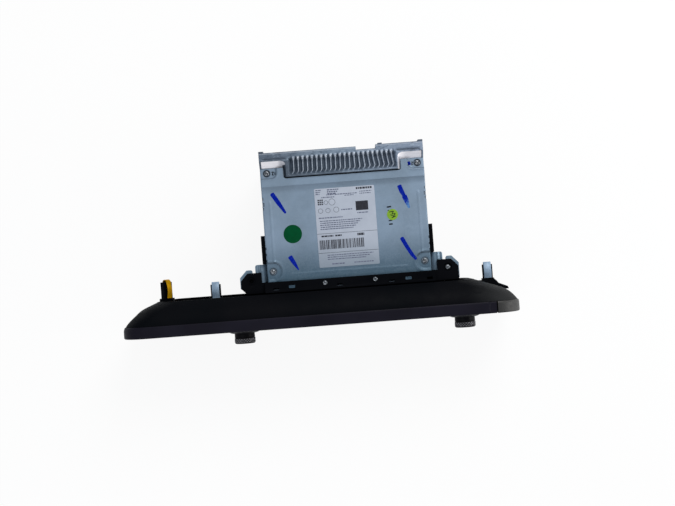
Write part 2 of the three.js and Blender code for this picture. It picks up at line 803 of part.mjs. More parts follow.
function heatSink() {
  const shelfTop = earPadTop - sheet - clearance;
  const inner = trayHalf - sheet - clearance;
  const blockTop = sinkBaseTop;
  const outline = roundedRect([-sinkBlockHalf, sinkBlockHalf], [sinkFront, chassisRear], coverNotchRadius);
  let sink = prism(outline, 'z', [blockTop - sinkBaseThickness, blockTop], smallArcSteps);
  sink = join(sink, block([-inner, inner], [sinkFront, chassisRear],
    [shelfTop - sinkShelfThickness, shelfTop]));
  sink = cut(sink, block([-sinkBlockHalf, sinkBlockHalf], [sinkFront - overrun, sinkBeamFront],
    [blockTop, sinkHeight + overrun]));
  const beam = polygon([
    [coverRear + clearance, shelfTop - sinkShelfThickness],
    [chassisRear, shelfTop - sinkShelfThickness],
    [chassisRear, sinkHeight],
    [sinkBeamFront, sinkHeight],
    [sinkBeamFront - sinkSlopeDepth, sinkHeight - sinkSlopeDrop],
    [coverRear + clearance, sinkHeight - sinkSlopeDrop],
  ]);
  sink = join(sink, prism(beam, 'x', [-sinkHalf, sinkHalf]));
  sink = cut(sink, block([-sinkBlockHalf + sinkWallThickness, sinkBlockHalf - sinkWallThickness],
    [sinkFront + sinkWallThickness, sinkBeamFront], [blockTop, sinkHeight + overrun]));
  for (const side of [-1, 1]) {
    const wall = sideSpan(side, sinkBlockHalf - sinkWallThickness, sinkBlockHalf);
    sink = join(sink, block(sideSpan(side, inner - sinkWallThickness, inner), [sinkFront, chassisRear],
      [sinkRearWallLow, shelfTop]));
    const rim = block(wall, [sinkFront, chassisRear - sinkRearWall],
      [blockTop - sinkWallThickness, sinkHeight - sinkWallDrop]);
    const rounded = prism(outline, 'z', [blockTop - sinkWallThickness, sinkHeight], smallArcSteps);
    sink = join(sink, rim.intersect(rounded));
    const lugX = sideSpan(side, sinkHalf - cornerLugWidth, sinkHalf);
    sink = join(sink, block(lugX, [sinkBeamFront, chassisRear + cornerLugDepth],
      [sinkHeight - cornerLugHeight, sinkHeight]));
    sink = cut(sink, rod('z', [side * rearScrewX, rearScrewY], screwHoleRadius,
      [shelfTop - screwShankLength, shelfTop + overrun]));
  }
  sink = join(sink, block([-inner, inner], [chassisRear - sinkRearWall, chassisRear],
    [sinkRearWallLow, sinkHeight - sinkSlopeDrop]));
  const first = -finPitch * (finCount - 1) / 2;
  for (let i = 0; i < finCount; i += 1) {
    const x = first + i * finPitch;
    const finY = [sinkFront + finFrontGap, sinkFront + finFrontGap + finLength];
    sink = join(sink,
      block(around(x, finThickness), finY, [blockTop - sinkWallThickness, sinkHeight - finTipDrop]),
      block(around(x, finThickness), [chassisRear - nubDepth - nubSetback, chassisRear - nubSetback],
        [sinkHeight - nubHeight, sinkHeight + nubHeight]));
  }
  sink = cut(sink, block([sinkStepLeft, sinkStepLeft + sinkStepWidth],
    [chassisRear - sinkStepDepth, chassisRear + overrun], [sinkRearWallLow - overrun, sinkHeight + overrun]));
  const legRear = chassisRear - sinkLegSetback;
  sink = join(sink, block([sinkLegLeft, sinkLegRight], [legRear - sinkLegThickness, legRear],
    [sinkLegLow, blockTop - sinkWallThickness]));
  return sink;
}

// Sockets at the rear: an open box with contacts on its floor

const mainSocket = { x: mainSocketX, width: mainSocketWidth, height: mainSocketHeight };
const auxSocket = { x: auxSocketX, width: auxSocketWidth, height: auxSocketHeight };
const usbPort = { x: usbX, width: usbWidth, height: usbHeight };
const antennaPort = { x: antennaX, width: antennaWidth, height: antennaHeight };
const rearSockets = [mainSocket, auxSocket, usbPort, antennaPort];

function pinSocket({ x, width, height }, columns, pitch, rowPitch) {
  const floor = connectorFront + connectorDepth / 2;
  const middle = onBoard + height / 2;
  let socket = block(around(x, width), [connectorFront, connectorRear], [onBoard, onBoard + height]);
  socket = cut(socket, block(around(x, width - 2 * connectorWall), [floor, connectorRear + overrun],
    around(middle, height - 2 * connectorWall)));
  for (let column = 0; column < columns; column += 1) {
    for (const row of [-1, 1]) {
      const pinX = x + (column - (columns - 1) / 2) * pitch;
      socket = join(socket, block(around(pinX, pinWidth), [floor - pinWidth, floor + pinLength],
        around(middle + row * rowPitch / 2, pinWidth)));
    }
  }
  return socket;
}

function usbSocket({ x, width, height }) {
  const middle = onBoard + height / 2;
  const floor = connectorFront + usbWall;
  const shell = block(around(x, width), [connectorFront, connectorRear], [onBoard, onBoard + height]);
  const hollow = block(around(x, width - 2 * usbWall), [floor, connectorRear + overrun],
    around(middle, height - 2 * usbWall));
  const tongueTop = middle + height / 2 - usbWall;
  const tongue = block(around(x, width - 4 * usbWall), [floor - usbWall / 2, connectorRear - connectorWall],
    [tongueTop - usbTongueThickness, tongueTop]);
  return join(cut(shell, hollow), tongue);
}

function antennaSocket({ x, width, height }) {
  const middle = onBoard + height / 2;
  const floor = connectorFront + connectorDepth / 2;
  let socket = block(around(x, width), [connectorFront, connectorRear], [onBoard, onBoard + height]);
  for (const side of [-1, 1]) {
    const place = [x + side * antennaPitch / 2, middle];
    socket = cut(socket, rod('y', place, antennaBoreRadius, [floor, connectorRear + overrun]));
    socket = join(socket,
      rod('y', place, antennaPinRadius, [floor - pinWidth, floor + pinLength / 2], pinSides));
  }
  return socket;
}

// Rear frame: a collar round the chassis front, a web and neck that meet the back panel, ears and side arms

function rearFrame() {
  const middle = chassisHeight / 2;
  const opening = chassisHeight - 2 * frameWebMargin + frameWall;
  const collar = block([-frameOuterHalf, frameOuterHalf], [frameFront, frameRear], [frameLow, frameHigh]);
  const sleeve = block([-frameInnerHalf, frameInnerHalf], [chassisFront - clearance, frameRear + overrun],
    [-clearance, chassisHeight + clearance]);
  const neckY = [backPanelRear + clearance, frameFront + overrun / 2];
  const neckHalf = halfWidth - frameNeckInset;
  const neck = block([-neckHalf, neckHalf], neckY, around(middle, chassisHeight - 2 * frameNeckInset));
  let frame = join(cut(collar, sleeve), cut(neck, block([-neckHalf, neckHalf],
    [chassisFront - clearance, frameRear], [0, chassisHeight])));
  frame = cut(frame, block(around(0, 2 * (halfWidth - frameWebMargin)),
    [backPanelRear - overrun, chassisFront], around(middle, opening)));
  for (const side of [-1, 1]) {
    frame = join(frame, ear(side), arm(side));
    const earHole = [side * earHoleX, earHoleY];
    frame = cut(frame,
      rod('z', earHole, earHoleRadius, [earTop - earThickness - overrun, earTop + overrun]),
      rod('z', earHole, earRecessRadius, [earTop - earRecessDepth, earTop + overrun]),
      rod('x', [bracketScrewY, bracketScrewZ], screwHoleRadius,
        sideSpan(side, armInner - overrun, armOuter + overrun)),
      rod('z', [side * frameScrewX, frameScrewY], screwHoleRadius, [chassisHeight, frameHigh + overrun]),
      block(around(side * frameWindowX, frameWindowWidth), around(windowY, frameWindowDepth),
        [chassisHeight, frameHigh + overrun]));
  }
  for (const share of frameSlotShares) {
    frame = cut(frame, block(around(share * halfWidth, frameSlotWidth), around(frameSlotY, frameSlotDepth),
      [chassisHeight, frameHigh + overrun]));
  }
  return frame;
}

function ear(side) {
  const root = frameInnerHalf + frameWall / 2;
  const outline = polygon(mirrorX([
    [root, frameFront],
    ...(side < 0 ? [[earFrontX, frameFront], [earOuterX, earShoulderY]] : [[earOuterX, frameFront]]),
    [earOuterX, earChamferY],
    [earCornerX, earRearY],
    [earInnerX, earRearY],
    [earInnerX, frameRear],
    [root, frameRear],
  ], side));
  return prism(outline, 'z', [earTop - earThickness, earTop]);
}

function arm(side) {
  return join(
    block(sideSpan(side, armInner, armOuter), [frameFront, armJogY + overrun], [armLow, armFrontHigh]),
    block(sideSpan(side, frameInnerHalf, armOuter), [armJogY, chassisFront + armReach], [armLow, armHigh]),
  );
}

// Bracket: a wall along the chassis, bent outwards into a flange that runs on under the plastic ear

function bracket(side) {
  const inner = bracketInner;
  const bendCentre = inner + bracketSheet + bracketBend;
  const bendHeight = bracketTop - bracketSheet - bracketBend;
  const outerBend = bracketBend + bracketSheet;
  const arc = (radius, from, to) => Array.from({ length: arcSteps + 1 }, (_, i) => {
    const angle = from + (to - from) * i / arcSteps;
    return [bendCentre + radius * Math.cos(angle), bendHeight + radius * Math.sin(angle)];
  });
  const section = polygon(mirrorX([
    [inner, bracketLow],
    [inner + bracketSheet, bracketLow],
    ...arc(bracketBend, Math.PI, Math.PI / 2),
    [bracketTongueX, bracketTop - bracketSheet],
    [bracketTongueX, bracketTop],
    ...arc(outerBend, Math.PI / 2, Math.PI),
  ], side));
  const earEdge = bracketTongueX + bracketNotchWidth;
  const flangeOuterX = earOuterX + bracketEdgeGap;
  const flange = polygon(mirrorX([
    [bendCentre, frameFront + bracketSheet],
    ...(side < 0 ? [[earFrontX, frameFront + bracketSheet], [flangeOuterX, earShoulderY]]
      : [[flangeOuterX, frameFront + bracketSheet]]),
    [flangeOuterX, earChamferY + bracketPeek],
    [earCornerX + bracketEdgeGap, earRearY + bracketPeek],
    [earEdge, earRearY + bracketPeek],
    [earEdge, earRearY - bracketNotchDepth],
    [bracketTongueX - bracketSheet, earRearY - bracketNotchDepth],
    [bracketTongueX - bracketSheet, bracketRear],
    [bendCentre, bracketRear],
  ], side));
  let plate = join(
    prism(section, 'y', [bracketFront, bracketRear]),
    prism(flange, 'z', [bracketTop - bracketSheet, bracketTop]),
  );
  plate = cut(plate,
    rod('z', [side * earHoleX, earHoleY], earHoleRadius,
      [bracketTop - bracketSheet - overrun, bracketTop + overrun]),
    rod('x', [bracketScrewY, bracketScrewZ], screwHoleRadius,
      sideSpan(side, inner - overrun, inner + bracketSheet + overrun)));
  return plate;
}

// Fascia shells

function trimRing() {
  const edgeSteps = 3;
  const rings = [];
  for (let i = 0; i <= edgeSteps; i += 1) {
    const angle = Math.PI / 2 * i / edgeSteps;
    rings.push(fasciaRing(ringEdgeRound * (1 - Math.sin(angle)), ringEdgeRound * (1 - Math.cos(angle))));
  }
  for (let i = 1; i <= edgeSteps; i += 1) {
    rings.push(fasciaRing(0, ringEdgeRound + (ringDepth - ringEdgeRound) * i / edgeSteps));
  }
  const hole = prism(roundedRect(
    [fasciaLeft + ringWidth, fasciaRight - ringWidth],
    [fasciaLow + ringWidth, fasciaHigh - ringWidth],
    fasciaCorner - ringWidth,
  ), 'y', [fasciaFront - overrun, ringRear + overrun]);
  return cut(loft(rings), hole);
}

const wholeZ = [fasciaLow - overrun, fasciaHigh + overrun];
const ringY = [fasciaFront - overrun, ringRear + overrun];

function frontTrimRing() {
  return cut(trimRing(), block([endTrimX - clearance, fasciaRight + overrun], ringY, wholeZ));
}

function rightEndTrim() {
  return cut(trimRing(), block([fasciaLeft - overrun, endTrimX], ringY, wholeZ));
}

function fasciaShroud() {
  const depths = [ringDepth + clearance, fasciaDepth];
  const shell = cut(
    fasciaBody(ringStep, depths),
    fasciaBody(ringStep + fasciaWall, depths, overrun, overrun),
  );
  const passage = block(
    [ledgeRoot, fasciaRight],
    [backPanelRear - ledgeDepth - clearance, fasciaRear + overrun],
    [ledgeLow - clearance, ledgeHigh + clearance],
  );
  const postPassage = block(
    [yellowClipX - yellowBaseWidth / 2 - clearance, yellowClipX + yellowBaseWidth / 2 + clearance],
    [backPanelRear - sheet, fasciaRear + overrun],
    around(yellowClipZ, clipBaseHeight + 2 * clearance),
  );
  return cut(shell, passage, postPassage);
}

function frontFacePanel() {
  const outline = roundedRect([panelLeft, panelRight], [panelLow, panelHigh], panelCorner);
  const within = roundedRect(
    [panelLeft + panelSkirtWall, panelRight - panelSkirtWall],
    [panelLow + panelSkirtWall, panelHigh - panelSkirtWall],
    panelCorner - panelSkirtWall,
  );
  const through = [panelFront - overrun, panelRear + overrun];
  const skirtRear = panelRear + panelSkirtDepth;
  let panel = cut(
    prism(outline, 'y', [panelFront, skirtRear]),
    prism(within, 'y', [panelRear, skirtRear + overrun]),
  );
  panel = cut(panel,
    prism(displayRect(lensWidth + 2 * clearance, lensHeight + 2 * clearance, lensRadius),
      'y', [panelFront - overrun, lensRear + clearance], smallArcSteps),
    prism(displayRect(lensWidth - 2 * lensSeat, lensHeight - 2 * lensSeat, lensRadius),
      'y', through, smallArcSteps),
    prism(insertRect(clearance), 'y', [panelFront - overrun, insertFloor]));
  for (const x of [leftKnobX, rightKnobX]) {
    panel = cut(join(panel, collar(x)),
      rod('y', [x, knobZ], collarBoreRadius, [collarTip - overrun, panelFront], roundSides),
      rod('y', [x, knobZ], bushingRadius + clearance, through));
    for (let i = 0; i < keyCount; i += 1) {
      panel = cut(panel, prism(roundedRect(
        around(x, keyWidth + 2 * keyGap),
        around(keyLowest + i * keyPitch, keyHeight + 2 * keyGap),
        keyRadius + keyGap,
      ), 'y', through, smallArcSteps));
    }
  }
  for (const [x, z] of fourPlaces(displayX, boardPostX, displayZ, boardPostZ)) {
    panel = join(panel, rod('y', [x, z], boardPostRadius,
      [panelRear - panelThickness / 2, frontBoardFront - clearance]));
  }
  for (const share of wingBossShares) {
    const x = -halfWidth - share * leftWing;
    for (const side of [-1, 1]) {
      panel = join(panel, rod('y', [x, displayZ + side * wingBossZ], wingBossRadius,
        [panelRear - insertGrip, backPanelFront - clearance]));
    }
  }
  return panel;
}

const displayRect = (width, height, radius) => roundedRect(
  around(displayX, width), around(displayZ, height), radius);
const insertRect = (grow) => roundedRect(
  [insertLeft - grow, insertLeft + insertWidth + grow],
  around(displayZ, insertHeight + 2 * grow),
  insertRadius + grow);
const fourPlaces = (x, dx, z, dz) => (
  [[x - dx, z - dz], [x + dx, z - dz], [x - dx, z + dz], [x + dx, z + dz]]);

// The flared collar round a knob: its flank sweeps from a wide foot up to a narrow lip.
function collar(x) {
  const lipRadius = collarBoreRadius + collarLip;
  const coreRadius = collarBoreRadius - collarLip;
  const foot = panelFront + panelThickness / 2;
  const flank = [];
  for (let i = 0; i <= arcSteps; i += 1) {
    const share = i / arcSteps;
    const radius = lipRadius + (collarRadius - lipRadius) * (1 - share) ** (1 / collarFlareShare);
    flank.push([radius, panelFront - collarHeight * share]);
  }
  return turned([[coreRadius, foot], [collarRadius, foot], ...flank, [coreRadius, collarTip]], [x, knobZ]);
}

function leftTrimInsert() {
  return prism(insertRect(0), 'y', [insertFloor - clearance - insertThickness, insertFloor - clearance]);
}

// Display stack and front board

function displayLens() {
  return prism(displayRect(lensWidth, lensHeight, lensRadius - clearance), 'y', [panelFront, lensRear]);
}

function displayPanel() {
  return prism(displayRect(lcdWidth, lcdHeight, lensRadius), 'y', [lcdFront, lcdRear]);
}

function displayBackPlate() {
  let plate = block(around(displayX, backPlateWidth), [backPlateFront, backPlateRear],
    around(displayZ, lcdHeight));
  const [dx, dz] = [backPlateWidth / 2 - backPlateFootInset, lcdHeight / 2 - backPlateFootInset];
  for (const place of fourPlaces(displayX, dx, displayZ, dz)) {
    plate = join(plate, rod('y', place, backPlateFootRadius, [backPlateFront + backPlateThickness / 2,
      frontBoardFront - clearance]));
  }
  return plate;
}

function frontBoard() {
  return block(around(displayX, frontBoardWidth), [frontBoardFront, frontBoardRear],
    around(displayZ, frontBoardHeight));
}

function keypad(x) {
  const length = (keyCount - 1) * keyPitch + keyHeight;
  const middle = keyLowest + (keyCount - 1) * keyPitch / 2;
  let pad = block(around(x, keyWidth - 2 * keypadMargin), [keypadFront, keypadRear], around(middle, length));
  for (let i = 0; i < keyCount; i += 1) {
    pad = join(pad, rod('y', [x, keyLowest + i * keyPitch], keypadDomeRadius,
      [domeFront, keypadFront + keypadThickness / 2]));
  }
  return pad;
}

// Ribbon: a level run from the front board through the frame, folded down onto the main board
function displayRibbon() {
  const top = ribbonHeight + ribbonThickness / 2;
  const low = ribbonHeight - ribbonThickness / 2;
  return prism(polygon([
    [frontBoardRear + clearance, low],
    [ribbonEnd - ribbonThickness, low],
    [ribbonEnd - ribbonThickness, onBoard],
    [ribbonEnd, onBoard],
    [ribbonEnd, top],
    [frontBoardRear + clearance, top],
  ]), 'x', around(0, ribbonWidth));
}

// Chassis electronics

function mainBoard() {
  return block(around(0, mainBoardWidth), [mainBoardFront, mainBoardRear], [mainBoardHeight, mainBoardTop]);
}

function tunerCan() {
  return block(around(tunerX, tunerWidth), around(tunerY, tunerDepth), [onBoard, onBoard + tunerHeight]);
}

function amplifierChip() {
  const rear = chassisRear - sinkLegSetback - sinkLegThickness - clearance;
  const across = [sinkLegLeft + amplifierInset, sinkLegRight - amplifierInset];
  return block(across, [rear - amplifierThickness, rear], [onBoard, onBoard + amplifierHeight]);
}

// Back panel: it closes the fascia behind the wings, meets the frame's neck, and carries the clip bases

function backPanel() {
  const depth = [backPanelFront - fasciaFront, backPanelRear - fasciaFront];
  const window = block(around(0, 2 * (halfWidth - frameWebMargin)),
    [backPanelFront - overrun, backPanelRear + overrun],
    around(chassisHeight / 2, chassisHeight - 2 * frameWebMargin + frameWall));
  let panel = cut(fasciaBody(ringStep + fasciaWall + clearance, depth), window);
  const ribY = [backPanelFront - ribDepth, backPanelFront + ribThickness / 2];
  for (const side of [-1, 1]) {
    for (const span of [leftRibs, rightRibs]) {
      panel = join(panel, block(span, ribY, around(displayZ + side * ribZ, ribThickness)));
    }
  }
  for (const share of uprightRibShares) {
    const x = -halfWidth - share * leftWing;
    panel = join(panel, block(around(x, ribThickness), ribY, around(displayZ, uprightHeight)));
  }
  const ledge = polygon([
    [ledgeRoot, backPanelRear - ledgeDepth],
    [ledgeRoot, backPanelRear],
    ...ledgeFallShares.map(([along, fall]) => [
      ledgeCrestX + along * (ledgeReach - ledgeCrestX),
      backPanelRear - fall * ledgeDepth,
    ]),
    [ledgeReach, backPanelRear - ledgeDepth],
  ]);
  panel = join(panel, prism(ledge, 'z', [ledgeLow, ledgeHigh]));
  for (const clip of clipPlaces) {
    const matrix = new THREE.Matrix4().makeRotationY(clip.turn).setPosition(clip.x, 0, clip.z);
    const base = block(around(clip.x, clip.baseWidth),
      [backPanelRear - sheet, backPanelRear + clip.baseDepth], around(clip.z, clipBaseHeight));
    panel = join(panel, base, solid(geometryOf(clipBlade(clip)).applyMatrix4(matrix)));
  }
  return panel;
}

const greyClip = {
  z: greyClipZ, length: greyClipLength, thickness: bladeThickness, turn: 0,
  baseWidth: greyBaseWidth, baseDepth: greyBaseDepth,
};
const clipPlaces = [
  {
    name: 'yellow_clip', x: yellowClipX, z: yellowClipZ, length: yellowClipLength, thickness: postThickness,
    turn: yellowClipTurn, baseWidth: yellowBaseWidth, baseDepth: yellowBaseDepth,
  },
  { name: 'left_clip', x: leftClipX, ...greyClip },
  { name: 'right_clip', x: rightClipX, ...greyClip },
];

// A blade about its own axis, with a shoulder beside the clip on both sides
function clipBlade({ length, thickness, baseDepth }) {
  const tip = backPanelRear + baseDepth + length - clipSheet - clipBulge - clearance;
  return block(around(0, clipWidth + 2 * bladeShoulder), [backPanelRear, tip], around(0, thickness));
}

// Sprung clip: a strip folded over the blade's tip, both arms bowed outwards
function springClip({ length, thickness, baseDepth }) {
  const root = backPanelRear + baseDepth + clearance;
  const tip = backPanelRear + baseDepth + length;
  const bow = (root + tip) / 2;
  const inner = thickness / 2 + clearance;
  const arm = (skin) => [
    [root, inner + skin],
    [bow, inner + clipBulge + skin],
    [tip - clipSheet - clipBulge + skin / 2, inner + skin],
    [tip - clipSheet + skin, inner / 2 + skin / 2],
  ];
  const below = (points) => points.map(([y, z]) => [y, -z]);
  return prism(polygon([
    ...arm(clipSheet), ...below(arm(clipSheet)).reverse(), ...below(arm(0)), ...arm(0).reverse(),
  ]), 'x', around(0, clipWidth));
}

// Knob, encoder and keys, each about its own axis

function knobBody() {
  const grooveRadius = knobFrontRadius - gripThickness - clearance;
  const grooveRear = knobFace + gripFrontGap + gripLength + clearance;
  const shell = turned([
    [0, knobFace],
    [knobFrontRadius - knobEdgeRound, knobFace],
    [knobFrontRadius - clearance, knobFace + gripFrontGap - clearance],
    [grooveRadius, knobFace + gripFrontGap - clearance],
    [grooveRadius, grooveRear],
    [knobFrontRadius - clearance, grooveRear],
    [knobRearRadius, knobRear],
    [knobRearRadius - knobWall, knobRear],
    [grooveRadius - knobWall, grooveRear],
    [grooveRadius - knobWall, knobFace + knobFaceThickness],
    [0, knobFace + knobFaceThickness],
  ], [0, 0]);
  const hubRear = knobFace + knobFaceThickness + knobHubLength;
  const hub = rod('y', [0, 0], knobHubRadius, [knobFace + knobFaceThickness / 2, hubRear]);
  const bore = cut(
    rod('y', [0, 0], bushingBoreRadius, [knobFace + knobFaceThickness, hubRear + overrun]),
    block(around(0, 2 * knobHubRadius), [knobFace, hubRear + overrun],
      [shaftRadius - shaftFlat + clearance, knobHubRadius]),
  );
  return cut(join(shell, hub), bore);
}

function knobGrip() {
  const inner = knobFrontRadius - gripThickness;
  const front = knobFace + gripFrontGap;
  let grip = turned([
    [inner, front],
    [knobFrontRadius, front],
    [knobFrontRadius, front + gripLength],
    [inner, front + gripLength],
  ], [0, 0]);
  for (let i = 0; i < gripGrooveCount; i += 1) {
    const angle = 2 * Math.PI * i / gripGrooveCount;
    const place = [knobFrontRadius * Math.cos(angle), knobFrontRadius * Math.sin(angle)];
    grip = cut(grip, rod('y', place, gripGrooveDepth, [front - overrun, front + gripLength + overrun],
      grooveSides));
  }
  return grip;
}

function encoderShaft() {
  const front = knobFace + knobFaceThickness + clearance;
  const hubRear = knobFace + knobFaceThickness + knobHubLength;
  return cut(
    join(
      rod('y', [0, 0], shaftRadius, [front, shaftRear]),
      rod('y', [0, 0], encoderCavityRadius - clearance, [flangeFront, shaftRear]),
    ),
    block(around(0, 2 * shaftRadius), [front - overrun, hubRear + knobPush],
      [shaftRadius - shaftFlat, shaftRadius + overrun]),
  );
}

function encoderPlunger() {
  return rod('y', [0, 0], encoderCavityRadius - clearance, [plungerFront, plungerRear]);
}

function encoderBody() {
  const can = block(around(0, encoderWidth), [encoderFront, encoderRear], around(0, encoderWidth));
  const bushing = rod('y', [0, 0], bushingRadius,
    [encoderFront - bushingLength, encoderFront + encoderWall / 2]);
  return cut(join(can, bushing),
    rod('y', [0, 0], encoderCavityRadius, [cavityFront, cavityRear]),
    rod('y', [0, 0], bushingBoreRadius, [encoderFront - bushingLength - overrun, cavityFront + overrun]));
}

function key() {
  const flangeY = panelRear + clearance;
  const cap = prism(roundedRect(around(0, keyWidth), around(0, keyHeight), keyRadius), 'y',
    [panelFront - keyProud, flangeY + keyFlangeThickness / 2], smallArcSteps);
  const flange = block(around(0, keyWidth + 2 * keyFlange), [flangeY, flangeY + keyFlangeThickness],
    around(0, keyHeight + 2 * keyFlange));
  const stem = rod('y', [0, 0], keyStemRadius, [flangeY, keyStemRear], pinSides);
  return join(cap, flange, stem);
}

// Labels lie just over the cover.
const labelZ = [coverTop + labelGap, coverTop + labelGap + labelThickness];
const ratingLabel = () => block(around(labelX, labelWidth), around(labelY, labelLength), labelZ);
const sticker = (x, y, radius) => rod('z', [x, y], radius, labelZ, roundSides);

// Finishes

const finish = (color, roughness, metalness = 0) => (
  new THREE.MeshStandardMaterial({ color, roughness, metalness }));
const zincSteel = finish(0x7d91a5, 0.45, 0.8);
const castAlloy = finish(0x505f6c, 0.4, 0.9);
const blackPlastic = finish(0x0f1114, 0.55);
const satinTrim = finish(0x1e1d26, 0.4);
const endGrey = finish(0x2a2a2b, 0.5);
const darkSteel = finish(0x8c99a6, 0.35, 1);
const paper = finish(0xafb9cd, 0.6);
const greenInk = finish(0x00502a, 0.5);
const limeInk = finish(0x6e9a2e, 0.5);
const yellowPaint = finish(0xc8960a, 0.45, 0.3);
const glass = finish(0x08090b, 0.08);
const boardGreen = finish(0x14452c, 0.5);
const rubber = finish(0x222222, 0.9);
const gripMetal = finish(0x4a4850, 0.35, 0.8);
const amber = finish(0xb07030, 0.5);

// Assembly

const radio = new THREE.Group();

function place(parent, name, shape, material, position = [0, 0, 0], turn = 0) {
  const mesh = new THREE.Mesh(geometryOf(shape), material);
  mesh.name = name;
  mesh.position.set(...position);
  mesh.rotation.y = turn;
  parent.add(mesh);
}

place(radio, 'top_cover', topCover(), zincSteel);
place(radio, 'chassis_tray', chassisTray(), zincSteel);
place(radio, 'heat_sink', heatSink(), castAlloy);
place(radio, 'rear_frame', rearFrame(), blackPlastic);
place(radio, 'back_panel', backPanel(), blackPlastic);
place(radio, 'fascia_shroud', fasciaShroud(), blackPlastic);
place(radio, 'front_trim_ring', frontTrimRing(), satinTrim);
place(radio, 'right_end_trim', rightEndTrim(), endGrey);
place(radio, 'front_face_panel', frontFacePanel(), blackPlastic);
place(radio, 'left_trim_insert', leftTrimInsert(), satinTrim);
place(radio, 'display_lens', displayLens(), glass);
place(radio, 'display_panel', displayPanel(), glass);
place(radio, 'display_back_plate', displayBackPlate(), zincSteel);
place(radio, 'front_board', frontBoard(), boardGreen);
place(radio, 'display_ribbon', displayRibbon(), amber);
place(radio, 'main_board', mainBoard(), boardGreen);
place(radio, 'tuner_can', tunerCan(), darkSteel);
place(radio, 'amplifier_chip', amplifierChip(), blackPlastic);
place(radio, 'main_connector',
  pinSocket(mainSocket, mainPinColumns, mainPinPitch, pinRowPitch), blackPlastic);
place(radio, 'aux_connector', pinSocket(auxSocket, auxPinColumns, auxPinPitch, auxRowPitch), paper);
place(radio, 'usb_socket', usbSocket(usbPort), darkSteel);
place(radio, 'antenna_socket', antennaSocket(antennaPort), blackPlastic);
place(radio, 'rating_label', ratingLabel(), paper);
place(radio, 'green_sticker', sticker(greenX, greenY, greenRadius), greenInk);
place(radio, 'lime_sticker', sticker(limeX, limeY, limeRadius), limeInk);

for (const [word, side] of [['left', -1], ['right', 1]]) {
  place(radio, `${word}_bracket`, bracket(side), zincSteel);
  place(radio, `cover_screw_rear_${word}`,
    screw('z', [side * rearScrewX, rearScrewY], earPadTop + clearance, 1), darkSteel);
  place(radio, `cover_screw_front_${word}`,
    screw('z', [side * frontScrewX, frontScrewY], coverTop + clearance, 1), darkSteel);
  place(radio, `frame_screw_${word}`,
    screw('z', [side * frameScrewX, frameScrewY], frameHigh + clearance, 1), darkSteel);
  place(radio, `bracket_screw_${word}`,
    screw('x', [bracketScrewY, bracketScrewZ], side * (armOuter + clearance), side, bracketScrewLength),
    darkSteel);
}
place(radio, 'ear_screw_right', screw('z', [earHoleX, earHoleY], earTop - earRecessDepth + clearance, 1,
  earScrewLength, earScrewRadius), darkSteel);

for (const clip of clipPlaces) {
  const coat = clip.turn ? yellowPaint : zincSteel;
  place(radio, clip.name, springClip(clip), coat, [clip.x, 0, clip.z], clip.turn);
}

for (const [word, x] of [['left', leftKnobX], ['right', rightKnobX]]) {
  const knob = new THREE.Group();
  knob.position.set(x, 0, knobZ);
  place(knob, `${word}_knob`, knobBody(), blackPlastic);
  place(knob, `${word}_knob_grip`, knobGrip(), gripMetal);
  place(knob, `${word}_encoder_shaft`, encoderShaft(), darkSteel);
  place(knob, `${word}_encoder_plunger`, encoderPlunger(), rubber);
  place(knob, `${word}_encoder_body`, encoderBody(), darkSteel);
  radio.add(knob);
  const column = new THREE.Group();
  column.position.set(x, 0, keyLowest);
  for (let i = 0; i < keyCount; i += 1) {
    place(column, `${word}_key_${i + 1}`, key(), blackPlastic, [0, 0, i * keyPitch]);
  }
  radio.add(column);
  place(radio, `${word}_keypad`, keypad(x), rubber);
}

export default radio;
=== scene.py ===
# Car radio head unit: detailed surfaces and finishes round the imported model.
# Sizes are in millimetres and become metres where a mesh is made.

import math

import bmesh
import bpy
import numpy as np
from mathutils import Matrix, Vector


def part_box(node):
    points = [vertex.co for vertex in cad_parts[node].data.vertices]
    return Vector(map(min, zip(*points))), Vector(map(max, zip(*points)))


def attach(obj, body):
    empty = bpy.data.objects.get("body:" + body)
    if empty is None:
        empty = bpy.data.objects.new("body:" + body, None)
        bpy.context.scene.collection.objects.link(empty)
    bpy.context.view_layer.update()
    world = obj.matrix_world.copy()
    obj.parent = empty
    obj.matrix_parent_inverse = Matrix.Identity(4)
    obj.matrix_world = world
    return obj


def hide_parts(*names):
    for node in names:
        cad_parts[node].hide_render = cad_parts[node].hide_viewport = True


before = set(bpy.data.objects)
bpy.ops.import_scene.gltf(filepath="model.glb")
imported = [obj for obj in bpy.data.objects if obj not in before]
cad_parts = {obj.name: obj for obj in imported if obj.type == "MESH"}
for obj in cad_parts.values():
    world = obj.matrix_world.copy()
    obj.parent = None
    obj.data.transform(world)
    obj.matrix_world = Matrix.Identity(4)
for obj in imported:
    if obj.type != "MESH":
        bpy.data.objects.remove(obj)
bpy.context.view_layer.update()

MM = 0.001
TAU = 2 * math.pi

SIDES = (("left", -1), ("right", 1))


# Sizes shared by several pieces

def span_of(node, axis):
    """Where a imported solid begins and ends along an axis, in millimetres to a hundredth."""
    return tuple(round(corner["xyz".index(axis)] / MM, 2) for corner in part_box(node))


def middle_of(node, axes):
    """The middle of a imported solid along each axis, in millimetres to a hundredth."""
    return tuple(round(sum(span_of(node, axis)) / 2, 2) for axis in axes)


